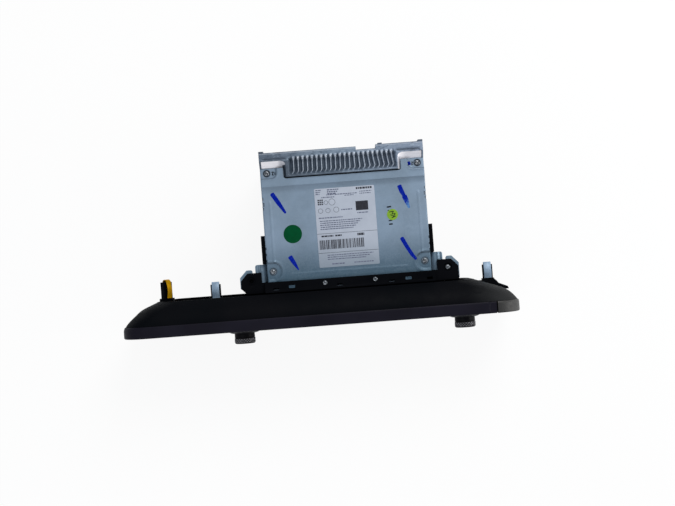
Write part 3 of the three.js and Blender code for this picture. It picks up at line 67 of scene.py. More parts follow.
CHASSIS_HALF = span_of("top_cover", "x")[1]
COVER_FRONT = -76.4
COVER_REAR = span_of("top_cover", "y")[1]
COVER_TOP = 100.0
NOTCH = ((-64.0, 64.0), (41.4, 70.0), 3.0)
REAR_PAD = ((71.0, 107.0), (42.0, 64.0), 6.0)
FRONT_PAD = ((73.6, 120.0), (-67.2, -49.6), 8.7)
REAR_SCREW = middle_of("cover_screw_rear_right", "xy")
FRONT_SCREW = middle_of("cover_screw_front_right", "xy")
COVER_SCREW_RADIUS = 2.75
FRAME_SCREW_RADIUS = 2.6
EAR_HOLE = middle_of("ear_screw_right", "xy")
FASCIA_FRONT, RING_REAR = span_of("front_trim_ring", "y")
FASCIA_DEPTH = round(span_of("fascia_shroud", "y")[1] - FASCIA_FRONT, 2)
FASCIA_X = (span_of("front_trim_ring", "x")[0], span_of("right_end_trim", "x")[1])
FASCIA_Z = span_of("front_trim_ring", "z")
FASCIA_CORNER = 28.0
RING_DEPTH = round(RING_REAR - FASCIA_FRONT, 2)
END_TRIM_X = span_of("right_end_trim", "x")[0]
PANEL_FRONT = span_of("display_lens", "y")[0]
KNOB_X = {word: middle_of(word + "_knob", "x")[0] for word, _ in SIDES}
KNOB_Z = middle_of("left_knob", "z")[0]
KNOB_FACE = span_of("left_knob", "y")[0]
KEY_COUNT = 4
ON_COVER = 100.06
LABEL_INK = 100.31
FLOOR_LEVEL = FASCIA_Z[0] - 0.5


# Surfaces

def quads(rows, columns, wrap_rows=False, wrap_columns=False):
    """Quads between neighbouring lines of a grid; a wrapped way joins its last line to its first."""
    i, j = np.meshgrid(
        np.arange(rows if wrap_rows else rows - 1),
        np.arange(columns if wrap_columns else columns - 1), indexing="ij")
    i, j = i.ravel(), j.ravel()
    up, along = (i + 1) % rows, (j + 1) % columns
    return np.stack([i * columns + j, up * columns + j, up * columns + along, i * columns + along], 1)


def fan(ring, middle):
    """Triangles from a middle point to each neighbouring pair of a ring."""
    return np.stack([np.full(len(ring), middle), ring, np.roll(ring, -1)], 1)


def closed(points, *faces):
    """A shell whose faces are turned outwards by the sign of the volume that they enclose."""
    points = points.reshape(-1, 3)
    volume = 0.0
    for group in faces:
        for k in range(1, group.shape[1] - 1):
            a, b, c = (points[group[:, n]] for n in (0, k, k + 1))
            volume += np.einsum("ij,ij->", a, np.cross(b, c))
    if volume < 0:
        faces = [group[:, ::-1] for group in faces]
    return points, list(faces)


def loft(rings):
    """A shell through rings of equally many points, capped at both ends by a fan round the ring's middle."""
    rows, columns, _ = rings.shape
    count = rows * columns
    ring = np.arange(columns)
    points = np.concatenate([rings.reshape(-1, 3), rings[[0, -1]].mean(axis=1)])
    return closed(
        points, quads(rows, columns, wrap_columns=True),
        fan(ring, count), fan(ring + count - columns, count + 1)[:, ::-1])


def to_axis(axis, a, b, along):
    """Places two cross coordinates and one along an axis as X, Y and Z."""
    order = {"x": (along, a, b), "y": (a, along, b), "z": (a, b, along)}[axis]
    return np.stack(np.broadcast_arrays(*order), -1)


def on_circle(middle, radius, turn):
    """Cross coordinates round a middle: a = A + r cos t, b = B + r sin t."""
    return middle[0] + radius * np.cos(turn), middle[1] + radius * np.sin(turn)


def full_turn(sides):
    """Even angles once round, as a row."""
    return np.linspace(0, TAU, sides, endpoint=False)[None]


def lathe(axis, middle, profile, sides, loop=False):
    """A profile of radius and height turned round an axis. In a loop the last point joins the first."""
    radius, height = (np.asarray(profile, float)[:, k, None] for k in (0, 1))
    points = to_axis(axis, *on_circle(middle, radius, full_turn(sides)), height)
    return closed(points, quads(*points.shape[:2], loop, True))


def sheet(upper, lower, keep):
    """A sheet between two grids of points. Cells where keep is false stay open, and walls line each
    opening."""
    rows, columns = upper.shape[:2]
    count = rows * columns
    index = np.arange(count).reshape(rows, columns)
    a, b, c, d = index[:-1, :-1], index[1:, :-1], index[1:, 1:], index[:-1, 1:]
    around = np.pad(keep, 1)
    faces = [np.stack([a, b, c, d], -1)[keep], np.stack([d, c, b, a], -1)[keep] + count]
    sides = (
        (around[:-2, 1:-1], a, d), (around[2:, 1:-1], c, b),
        (around[1:-1, :-2], b, a), (around[1:-1, 2:], d, c))
    for beyond, first, second in sides:
        rim = keep & ~beyond
        faces.append(np.stack([first, second, second + count, first + count], -1)[rim])
    used = np.unique(np.concatenate(faces))
    renumber = np.zeros(2 * count, int)
    renumber[used] = np.arange(len(used))
    points = np.concatenate([upper.reshape(-1, 3), lower.reshape(-1, 3)])[used]
    return closed(points, *(renumber[group] for group in faces))


def rounded_outline(a_span, b_span, radius, corner_steps=8):
    """Points round a rectangle whose corners are quarter circles."""
    turn = np.linspace(0, math.pi / 2, corner_steps + 1)
    corners = (
        (a_span[1] - radius, b_span[0] + radius, -1), (a_span[1] - radius, b_span[1] - radius, 0),
        (a_span[0] + radius, b_span[1] - radius, 1), (a_span[0] + radius, b_span[0] + radius, 2))
    return np.concatenate([
        np.stack(on_circle((a, b), radius, turn + k * math.pi / 2), 1) for a, b, k in corners])


def pad(axis, a_span, b_span, span, radius, edge, crown=0.0, dish=0.0):
    """A rounded block along an axis: its outline draws in over a quarter circle at the far end, where inner
    rings rise by crown times one minus the square of their share of the outline, or sink by dish within a
    narrow rim."""
    rings = []
    low, high = span
    way = 1 if high > low else -1
    middle = np.array([sum(a_span) / 2, sum(b_span) / 2])

    def ring(inset, height, share=1.0):
        outline = rounded_outline(
            (a_span[0] + inset, a_span[1] - inset), (b_span[0] + inset, b_span[1] - inset),
            max(radius - inset, edge / 4))
        outline = middle + (outline - middle) * share
        rings.append(to_axis(axis, outline[:, 0], outline[:, 1], height))

    ring(0, low)
    for turn in np.linspace(0, math.pi / 2, 5):
        ring(edge * (1 - math.cos(turn)), high - way * edge * (1 - math.sin(turn)))
    if crown:
        for share in (0.85, 0.6, 0.3):
            ring(edge, high + way * crown * (1 - share * share), share)
    if dish:
        ring(edge + 0.35, high)
        ring(edge + 0.5, high - way * dish)
    return loft(np.stack(rings))


def ease(value, start, end):
    """Goes from 0 at start to 1 at end along 3t^2 - 2t^3."""
    share = np.clip((value - start) / (end - start), 0, 1)
    return share * share * (3 - 2 * share)


def box_distance(x, y, x_span, y_span, radius):
    """Signed distance to a rectangle with rounded corners, negative inside."""
    dx = np.abs(x - sum(x_span) / 2) - (x_span[1] - x_span[0]) / 2 + radius
    dy = np.abs(y - sum(y_span) / 2) - (y_span[1] - y_span[0]) / 2 + radius
    return np.hypot(np.maximum(dx, 0), np.maximum(dy, 0)) + np.minimum(np.maximum(dx, dy), 0) - radius


def lines(low, high, pitch, *extra):
    """Even steps from low to high, with further values let in where an edge needs a line."""
    even = np.linspace(low, high, max(2, round((high - low) / pitch) + 1))
    values = np.unique(np.round(np.concatenate([even, *map(np.atleast_1d, extra)]), 4))
    return values[(values >= low) & (values <= high)]


# Pieces

def new_object(name, data):
    """An object that holds some data, linked into the scene."""
    made = bpy.data.objects.new(name, data)
    bpy.context.scene.collection.objects.link(made)
    return made


def enter(made, material, body, stands_for):
    """Gives a piece its finish, hangs it on its body and hides the imported solids it stands for."""
    made.data.materials.clear()
    made.data.materials.append(material)
    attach(made, body)
    if stands_for:
        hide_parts(*stands_for)


def tidy_mesh(mesh, sharp, flat_merge=False):
    """Merges doubled points and, where asked, the triangles of flat faces, and shades the mesh smooth between
    its sharp edges."""
    work = bmesh.new()
    work.from_mesh(mesh)
    bmesh.ops.remove_doubles(work, verts=work.verts, dist=2e-6)
    if flat_merge:
        bmesh.ops.dissolve_limit(work, angle_limit=math.radians(0.5), verts=work.verts, edges=work.edges)
    work.to_mesh(mesh)
    work.free()
    mesh.shade_smooth()
    mesh.set_sharp_from_angle(angle=math.radians(sharp))


def piece(name, shells, material, slot, body="root", stands_for=(), sharp=35, **values):
    """One mesh of closed shells in millimetres, with named values per point that its finish may read."""
    points, faces, start = [], [], 0
    for shell_points, groups in shells:
        points.append(shell_points * MM)
        for group in groups:
            faces += (group + start).tolist()
        start += len(shell_points)
    mesh = bpy.data.meshes.new(name)
    mesh.from_pydata(np.concatenate(points).tolist(), [], faces)
    for key, value in values.items():
        held = mesh.attributes.new(key, "FLOAT", "POINT")
        held.data.foreach_set("value", np.asarray(value, np.float32))
    tidy_mesh(mesh, sharp)
    enter(new_object(name, mesh), material, body, stands_for)


def rounded_copy(node, material, edge):
    """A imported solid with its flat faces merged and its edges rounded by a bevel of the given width."""
    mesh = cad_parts[node].data.copy()
    mesh.name = node + "_rounded"
    tidy_mesh(mesh, 30, flat_merge=True)
    made = new_object(node + "_rounded", mesh)
    bevel = made.modifiers.new("edge", "BEVEL")
    bevel.width = edge * MM
    bevel.segments = 2
    bevel.limit_method = "ANGLE"
    bevel.angle_limit = math.radians(38)
    bevel.miter_outer = "MITER_ARC"
    enter(made, material, "root", [node])


# Finishes

def linear(red, green, blue):
    """A screen colour of 0 to 255 as linear light."""
    share = np.array([red, green, blue]) / 255
    light = np.where(share <= 0.04045, share / 12.92, ((share + 0.055) / 1.055) ** 2.4)
    return (*(float(v) for v in light), 1.0)


def set_inputs(tree, node, values):
    """Links each input whose value is another node's output, and sets any other on its socket."""
    for key, value in values.items():
        if isinstance(value, bpy.types.NodeSocket):
            tree.links.new(value, node.inputs[key])
        else:
            node.inputs[key].default_value = value


def add(tree, kind, inputs=None, **settings):
    """Adds a shader node with its settings and inputs."""
    made = tree.nodes.new(kind)
    for key, value in settings.items():
        setattr(made, key, value)
    set_inputs(tree, made, inputs or {})
    return made


def math_node(tree, operation, *values):
    """The output of one Math node."""
    return add(tree, "ShaderNodeMath", dict(enumerate(values)), operation=operation).outputs[0]


def times(tree, first, second):
    """The product of two values."""
    return math_node(tree, "MULTIPLY", first, second)


def mix(tree, share, first, second):
    """The output of a colour Mix node."""
    return add(tree, "ShaderNodeMix", {0: share, 6: first, 7: second}, data_type="RGBA").outputs[2]


def remap(tree, value, low, high, to_low, to_high, kind="SMOOTHSTEP"):
    """The output of a Map Range node."""
    return add(tree, "ShaderNodeMapRange", {0: value, 1: low, 2: high, 3: to_low, 4: to_high},
               interpolation_type=kind).outputs[0]


def noise(tree, where, size, detail=4.0, rough=0.55, stretch=None):
    """Noise whose features are about size millimetres across, drawn out by stretch along X, Y and Z."""
    if stretch:
        where = add(tree, "ShaderNodeMapping", {"Vector": where, "Scale": stretch}).outputs[0]
    return add(tree, "ShaderNodeTexNoise", {
        "Vector": where, "Scale": 1 / (size * MM), "Detail": detail, "Roughness": rough}).outputs["Fac"]


def patches(tree, where, size, span, reach=(0.0, 1.0), detail=4.0, rough=0.55, stretch=None):
    """Noise of a size, carried smoothly from a span of its values to a reach."""
    return remap(tree, noise(tree, where, size, detail, rough, stretch), *span, *reach)


def gloss_drift(tree, where, size, reach):
    """A roughness that drifts over a reach."""
    return patches(tree, where, size, (0.3, 0.7), reach)


def own_value(tree, name):
    """One of the piece's own values per point."""
    return add(tree, "ShaderNodeAttribute", attribute_name=name).outputs["Fac"]


def graded(tree, where, axis, span, reach, kind="SMOOTHSTEP"):
    """Goes over a reach while one coordinate goes over a span of millimetres."""
    along = add(tree, "ShaderNodeSeparateXYZ", {0: where}).outputs[axis]
    return remap(tree, along, span[0] * MM, span[1] * MM, *reach, kind)


def start_finish(name):
    """A new material with its node tree, shader and Object coordinates."""
    material = bpy.data.materials.new(name)
    material.use_nodes = True
    tree = material.node_tree
    shader = tree.nodes["Principled BSDF"]
    where = add(tree, "ShaderNodeTexCoord").outputs["Object"]
    return material, tree, shader, where


def bump(tree, height, depth, strength=1.0, below=None):
    """A normal raised by a height of 0 to 1 that stands for depth millimetres."""
    inputs = {"Height": height, "Distance": depth * MM, "Strength": strength}
    if below is not None:
        inputs["Normal"] = below
    return add(tree, "ShaderNodeBump", inputs).outputs[0]


def front_falloff_shade(tree, where):
    """Painted shade: goes from 0 in the middle of the cover to nearly 1 at its front edge, where the light
    falls off.
    """
    return graded(tree, where, "Y", (-74, -18), (0.92, 0.0))


def plain_finish(name, tone, other, roughness, metal=0.0, specular=0.5, grain=0.4, grain_depth=0.02,
                 patch=25.0, scratches=0.0, scratch_tone=None, coat=0.0, stretch=None, front_shade_tone=None):
    """A finish whose colour drifts between two tones in patches, whose roughness drifts with a finer noise,
    and whose grain is raised. Thin crests of a stretched noise draw scratches of another tone."""
    material, tree, shader, where = start_finish(name)
    drift = patches(tree, where, patch, (0.3, 0.7), detail=5.0, rough=0.6)
    color = mix(tree, drift, linear(*tone), linear(*other))
    # A front tone is painted shade: the colour darkens towards the front edge, where the light falls off.
    if front_shade_tone:
        color = mix(tree, front_falloff_shade(tree, where), color, linear(*front_shade_tone))
    fine = noise(tree, where, grain, 3.0, 0.6, stretch)
    rough = gloss_drift(tree, where, patch / 5, roughness)
    normal = bump(tree, fine, grain_depth)
    if scratches:
        for stretch_by in ((0.06, 1.0, 1.0), (1.0, 0.08, 1.0)):
            crest = noise(tree, where, 2.2, 2.0, 0.5, stretch_by)
            line = remap(tree, math_node(tree, "ABSOLUTE", math_node(tree, "SUBTRACT", crest, 0.5)),
                         0.0, 0.006, 1.0, 0.0)
            rare = patches(tree, where, patch * 0.7, (0.52, 0.62), (0.0, scratches), 2.0)
            amount = times(tree, line, rare)
            color = mix(tree, amount, color, linear(*(scratch_tone or other)))
            normal = bump(tree, amount, 0.02, -0.6, normal)
    set_inputs(tree, shader, {
        "Base Color": color, "Roughness": rough, "Metallic": metal, "Specular IOR Level": specular,
        "Coat Weight": coat, "Normal": normal})
    return material


def cover_steel():
    """Zinc-coated sheet: blue-grey, with a fine drawn grain, small spangle and faint marks of handling. The
    tone darkens towards the front edge, painted shade where the light falls off, and in hollows by the
    piece's own hollow value, painted shade in the recesses."""
    material, tree, shader, where = start_finish("plated_cover_sheet")
    cells = add(tree, "ShaderNodeTexVoronoi", {"Vector": where, "Scale": 900.0}).outputs["Color"]
    spangle = add(tree, "ShaderNodeSeparateColor", {0: cells}).outputs[0]
    drift = patches(tree, where, 45, (0.35, 0.65), rough=0.5)
    color = mix(tree, drift, linear(115, 134, 153), linear(124, 144, 165))
    # Painted shade: the cover darkens towards its front edge, where the light falls off.
    color = mix(tree, front_falloff_shade(tree, where), color, linear(40, 73, 92))
    color = mix(tree, times(tree, spangle, 0.10), color, linear(150, 163, 178))
    smudge = patches(tree, where, 9, (0.6, 0.75), (0.0, 0.14), 5.0, 0.7)
    color = mix(tree, smudge, color, linear(104, 118, 134))
    # Painted shade in the recesses, by the piece's own hollow value.
    color = mix(tree, own_value(tree, "hollow"), color, linear(14, 18, 24))
    grain = noise(tree, where, 0.5, 3.0, 0.6, (0.15, 1.0, 1.0))
    set_inputs(tree, shader, {
        "Base Color": color, "Roughness": gloss_drift(tree, where, 6, (0.42, 0.56)), "Metallic": 0.35,
        "Specular IOR Level": 0.5,
        "Normal": bump(tree, spangle, 0.01, 0.5, bump(tree, grain, 0.015, 0.8))})
    return material


def cast_metal():
    """Die-cast alloy: its skin is mottled, its crests carry painted highlights by the piece's own shade,
    mixed with worn patches, its chamfers carry painted light and shade by its band value, and its hollows
    carry painted shade by its hollow value. The left end is darker and the right end paler: painted light
    from the right."""
    material, tree, shader, where = start_finish("die_cast_alloy")
    chamfer = own_value(tree, "band")
    # Painted highlights on the crests, mixed with worn patches.
    worn = patches(tree, where, 1.6, (0.3, 0.62), (0.35, 1.0), 5.0, 0.7)
    crest_highlight_and_wear = times(tree, own_value(tree, "shade"), worn)
    pits = patches(tree, where, 0.7, (0.62, 0.72), rough=0.7)
    streak = patches(tree, where, 1.5, (0.5, 0.68), (0.0, 0.3), 3.0, 0.6, (0.15, 1.0, 1.0))
    drift = patches(tree, where, 14, (0.3, 0.7), detail=5.0, rough=0.65)
    color = mix(tree, drift, linear(98, 115, 134), linear(132, 149, 167))
    for share, tone in (
            # Painted light: the right end lit paler and the left end shaded darker.
            (graded(tree, where, "X", (-20, 90), (0.0, 0.5)), (130, 142, 164)),
            (graded(tree, where, "X", (-75, 0), (0.6, 0.0)), (66, 76, 90)),
            (patches(tree, where, 3.2, (0.54, 0.68), (0.0, 0.55), 6.0, 0.75, (0.6, 1.0, 1.0)),
             (168, 184, 200)),
            (patches(tree, where, 4.0, (0.53, 0.66), (0.0, 0.75), 6.0, 0.75, (0.5, 1.0, 1.0)),
             (46, 58, 74)),
            # Painted shade in the hollows.
            (own_value(tree, "hollow"), (50, 60, 74)),
            (times(tree, pits, 0.35), (52, 62, 72)),
            # Painted highlights on the crests, mixed with wear.
            (crest_highlight_and_wear, (206, 212, 222))):
        color = mix(tree, share, color, linear(*tone))
    # Painted highlight: lit chamfers take a near-white tone by their band value.
    pale = mix(tree, streak, linear(250, 247, 252), linear(206, 206, 218))
    calm = math_node(tree, "SUBTRACT", 1.0, chamfer)
    skin = add(tree, "ShaderNodeBump", {
        "Height": noise(tree, where, 1.2, 5.0, 0.65), "Distance": 0.12 * MM,
        "Strength": times(tree, calm, 0.6)}).outputs[0]
    set_inputs(tree, shader, {
        "Base Color": mix(tree, chamfer, color, pale), "Roughness": gloss_drift(tree, where, 3, (0.36, 0.55)),
        "Metallic": times(tree, calm, 0.4), "Specular IOR Level": 0.5,
        "Normal": bump(tree, pits, 0.05, -0.5, skin)})
    return material


def moulded_black(name, tone, other, roughness, specular, grain=0.35, depth=0.02, dust=0.0, lit_right_tone=None):
    """Moulded plastic: a stippled grain, a slow drift of tone, and a little pale dust that gathers in
    specks. A right tone takes over towards the fascia's right end: painted light where the light falls."""
    material, tree, shader, where = start_finish(name)
    drift = patches(tree, where, 60, (0.35, 0.65), rough=0.5)
    color = mix(tree, drift, linear(*tone), linear(*other))
    # Painted light: the right end is lighter where the light falls.
    if lit_right_tone:
        share = graded(tree, where, "X", (120, 178), (0.0, 1.0))
        color = mix(tree, share, color, linear(*lit_right_tone))
    if dust:
        specks = patches(tree, where, 1.1, (0.66, 0.78), (0.0, dust), 5.0, 0.75)
        color = mix(tree, specks, color, linear(120, 122, 128))
    cells = add(tree, "ShaderNodeTexVoronoi", {"Vector": where, "Scale": 1 / (grain * MM)})
    set_inputs(tree, shader, {
        "Base Color": color, "Roughness": gloss_drift(tree, where, 12, roughness),
        "Specular IOR Level": specular, "Normal": bump(tree, cells.outputs["Distance"], depth, 0.7)})
    return material


def end_grey():
    """Satin grey end piece: its tone pales towards its outer edge, painted light from the right, and is
    faintly streaked along the fascia."""
    material, tree, shader, where = start_finish("satin_end_grey")
    # Painted light: the end piece lightens towards its outer edge, which faces the light.
    along = graded(tree, where, "X", (158, 182), (0.0, 1.0), "LINEAR")
    color = mix(tree, along, linear(36, 36, 36), linear(72, 72, 71))
    streak = patches(tree, where, 3, (0.35, 0.65), (0.0, 0.25), rough=0.6, stretch=(0.2, 1.0, 1.0))
    color = mix(tree, streak, color, linear(36, 36, 37))
    set_inputs(tree, shader, {
        "Base Color": color, "Roughness": gloss_drift(tree, where, 5, (0.42, 0.58)),
        "Specular IOR Level": 0.35, "Normal": bump(tree, noise(tree, where, 0.35, 3.0), 0.02, 0.6)})
    return material


def pen_ink(name, tone, worn):
    """Marker ink on metal: it is thin where the pen left streaks, and there the plating shows through."""
    material, tree, shader, where = start_finish(name)
    streak = noise(tree, where, 1.4, 5.0, 0.7)
    thin = remap(tree, streak, 0.5, 0.72, 0.0, 0.75)
    uneven = math_node(tree, "SUBTRACT", streak, 0.5)
    bare = remap(tree, math_node(tree, "ADD", own_value(tree, "shade"), uneven), 0.35, 0.75, 0.0, 1.0)
    color = mix(tree, math_node(tree, "MAXIMUM", times(tree, thin, 0.25), bare), linear(*tone), linear(*worn))
    set_inputs(tree, shader, {
        "Base Color": color, "Roughness": remap(tree, streak, 0.3, 0.7, 0.35, 0.5),
        "Specular IOR Level": 0.04, "Normal": bump(tree, streak, 0.02, 0.5)})
    return material


def knurled_metal():
    """The grip's coating: painted highlights on the diamonds by the piece's own shade, mixed with worn
    patches, and a black painted shade in the grooves."""
    material, tree, shader, where = start_finish("knurled_grip")
    crest = remap(tree, own_value(tree, "shade"), 0.55, 1.0, 0.0, 1.0)
    worn = patches(tree, where, 2.5, (0.3, 0.65), (0.45, 1.0), rough=0.65)
    # Painted highlight on the diamond tops, mixed with wear; painted shade in the grooves.
    color = mix(tree, times(tree, crest, worn), linear(12, 11, 16), linear(236, 233, 242))
    set_inputs(tree, shader, {
        "Base Color": color, "Roughness": gloss_drift(tree, where, 1.5, (0.3, 0.45)), "Metallic": 0.4,
        "Normal": bump(tree, noise(tree, where, 0.3, 3.0), 0.01, 0.8)})
    return material


STEEL = cover_steel()
CAST = cast_metal()
BRACKET_STEEL = plain_finish(
    "plated_bracket", (108, 132, 152), (130, 152, 170), (0.26, 0.42), metal=0.45, grain=0.5, patch=14,
    scratches=0.5, scratch_tone=(190, 200, 208), stretch=(1.0, 0.12, 1.0))
TRAY_STEEL = plain_finish(
    "plated_tray", (112, 127, 143), (128, 142, 157), (0.4, 0.55), metal=0.4, grain=0.6, patch=35,
    scratches=0.4, scratch_tone=(175, 186, 197), stretch=(0.15, 1.0, 1.0))
FRAME_BLACK = moulded_black("moulded_frame_black", (3, 4, 7), (6, 7, 11), (0.42, 0.6), 0.03, dust=0.04)
# The shroud's right tone is painted light on its right end.
SHROUD_BLACK = moulded_black(
    "grained_shroud_black", (5, 7, 11), (8, 9, 13), (0.5, 0.62), 0.035, depth=0.015, lit_right_tone=(45, 46, 47))
RING_BLACK = moulded_black(
    "satin_ring_black", (20, 19, 28), (24, 23, 33), (0.38, 0.5), 0.07, grain=0.25, depth=0.008)
PANEL_BLACK = moulded_black(
    "satin_panel_black", (14, 14, 18), (17, 18, 22), (0.36, 0.5), 0.2, grain=0.25, depth=0.01)
INSERT_SATIN = plain_finish(
    "brushed_insert", (38, 38, 44), (48, 48, 54), (0.28, 0.42), metal=0.5, patch=30, stretch=(0.05, 1.0, 1.0))
END_GREY = end_grey()
KNOB_BLACK = moulded_black(
    "satin_knob_black", (7, 7, 11), (10, 10, 15), (0.34, 0.46), 0.08, grain=0.2, depth=0.006)
GRIP_METAL = knurled_metal()
KEY_BLACK = moulded_black(
    "satin_key_black", (20, 20, 23), (25, 25, 28), (0.4, 0.5), 0.3, grain=0.2, depth=0.006)
RUBBER = moulded_black("silicone_mat", (34, 34, 35), (42, 42, 43), (0.7, 0.8), 0.3)
SCREW_STEEL = plain_finish(
    "plated_screw", (84, 90, 95), (160, 164, 170), (0.16, 0.3), metal=0.9, grain=0.5, patch=3)
CLIP_STEEL = plain_finish(
    "sprung_clip_steel", (130, 155, 180), (150, 173, 196), (0.42, 0.55), metal=0.2, grain=0.5, patch=7,
    scratches=0.5, scratch_tone=(178, 192, 206), stretch=(1.0, 0.1, 1.0))
YELLOW = plain_finish(
    "yellow_clip_coat", (190, 142, 0), (164, 122, 2), (0.4, 0.55), specular=0.08, grain=0.8, grain_depth=0.03,
    patch=5, scratches=0.8, scratch_tone=(92, 74, 12))
# The label's front tone is painted shade: darker towards the front edge, where the light falls off.
PAPER = plain_finish(
    "label_paper", (158, 166, 180), (168, 176, 190), (0.45, 0.6), specular=0.3, grain=0.25, grain_depth=0.008,
    patch=30, front_shade_tone=(112, 126, 140))
PRINT = plain_finish(
    "print_ink", (22, 24, 32), (36, 38, 50), (0.5, 0.6), specular=0.3, grain=0.3, grain_depth=0.01, patch=2)
PALE_PRINT = plain_finish(
    "pale_print_ink", (74, 80, 102), (100, 106, 128), (0.5, 0.6), specular=0.3, grain=0.3, grain_depth=0.01,
    patch=1.5)
GREEN_PAPER = plain_finish(
    "green_sticker_paper", (0, 64, 34), (0, 70, 38), (0.35, 0.5), specular=0.05, grain=0.6, patch=9,
    scratches=0.5, scratch_tone=(0, 48, 26))
LIME_PAPER = plain_finish(
    "lime_sticker_paper", (112, 152, 28), (124, 164, 36), (0.4, 0.55), specular=0.3, grain=0.6, patch=5)
BLUE_INK = pen_ink("blue_pen_ink", (0, 24, 138), (84, 128, 178))
BLACK_INK = pen_ink("black_pen_ink", (20, 22, 26), (110, 124, 142))
LENS = plain_finish(
    "dark_lens", (7, 8, 10), (9, 10, 12), (0.04, 0.08), grain=2.0, grain_depth=0.001, patch=50, coat=0.6)
BOARD = plain_finish(
    "board_mask", (22, 74, 50), (28, 86, 58), (0.35, 0.5), grain=1.2, grain_depth=0.03, patch=6)
TIN = plain_finish(
    "tinned_can", (165, 170, 174), (185, 190, 194), (0.25, 0.4), metal=0.85, grain=0.6, patch=10)
SOCKET = moulded_black("socket_pale", (186, 184, 176), (196, 194, 186), (0.45, 0.6), 0.4)
FILM = plain_finish(
    "amber_film", (176, 112, 48), (190, 126, 58), (0.25, 0.4), grain=0.8, grain_depth=0.01, patch=8)


# Top cover

def cover_height(x, y):
    """How far the cover stands above its flat: the rear band, sunk pads, beads, dents and a slight wave."""
    height = 1.4 * np.clip((y - 26.0) / 7.6, 0, 1) ** 2.5
    side = np.abs(x)
    rear_pad = box_distance(side, y, *REAR_PAD)
    height += 0.3 * np.exp(-((rear_pad - 0.9) / 0.6) ** 2)
    height -= 2.2 * (1 - ease(rear_pad, -1.1, 0.1))
    front_pad = box_distance(side, y, *FRONT_PAD)
    height += 0.7 * np.exp(-((front_pad - 2.0) / 0.9) ** 2)
    height -= 1.0 * (1 - ease(front_pad, -0.3, 0.7))
    for screw_x, screw_y, depth in ((*REAR_SCREW, 1.7), (*FRONT_SCREW, 0.5)):
        away = np.hypot(side - screw_x, y - screw_y)
        height -= depth * (1 - ease(away, 3.1, 3.8))
    side_bead = box_distance(side, y, (78.6, 82.4), (-50.0, 18.0), 1.9)
    height += 0.35 * (1 - ease(side_bead, -1.9, 0.4))
    front_bead = box_distance(x, y, (-64.0, 64.0), (-64.4, -60.8), 1.8)
    height += 0.3 * (1 - ease(front_bead, -1.8, 0.4))
    for oval_y in (-6.5, -27.1):
        rim = np.hypot((x - 66.7) / 3.8, (y - oval_y) / 6.0)
        height += 0.1 * np.exp(-((rim - 1) / 0.12) ** 2)
    for dot_x, dot_y in ((54.6, 31.0), (-1.5, 29.2), (-14.5, -62.8)):
        height -= 0.5 * np.exp(-(np.hypot(x - dot_x, y - dot_y) / 0.7) ** 2)
    return height + 0.035 * np.sin(x / 21 + 1) * np.sin(y / 16)


def cover_painted_shade(x, y):
    """How much painted shade darkens the cover in its hollows: rings round the screws, the foot of each pad's
    rim and, faintly, the slope up to the raised band."""
    side = np.abs(x)
    front_pad = box_distance(side, y, *FRONT_PAD)
    dark = 0.75 * np.exp(-((front_pad - 0.6) / 0.75) ** 2) * ease(y + 0.6 * side, -20.0, 0.0)
    for screw_x, screw_y in (REAR_SCREW, FRONT_SCREW):
        away = np.hypot(side - screw_x, y - screw_y)
        dark = np.maximum(dark, np.exp(-((away - 3.3) / 0.8) ** 2))
    rear_pad = box_distance(side, y, *REAR_PAD)
    dark = np.maximum(dark, 0.32 * np.exp(-((rear_pad - 0.1) / 0.7) ** 2))
    return np.maximum(dark, 0.24 * np.clip((y - 25.0) / 7.4, 0, 1) * (y < 33.3))


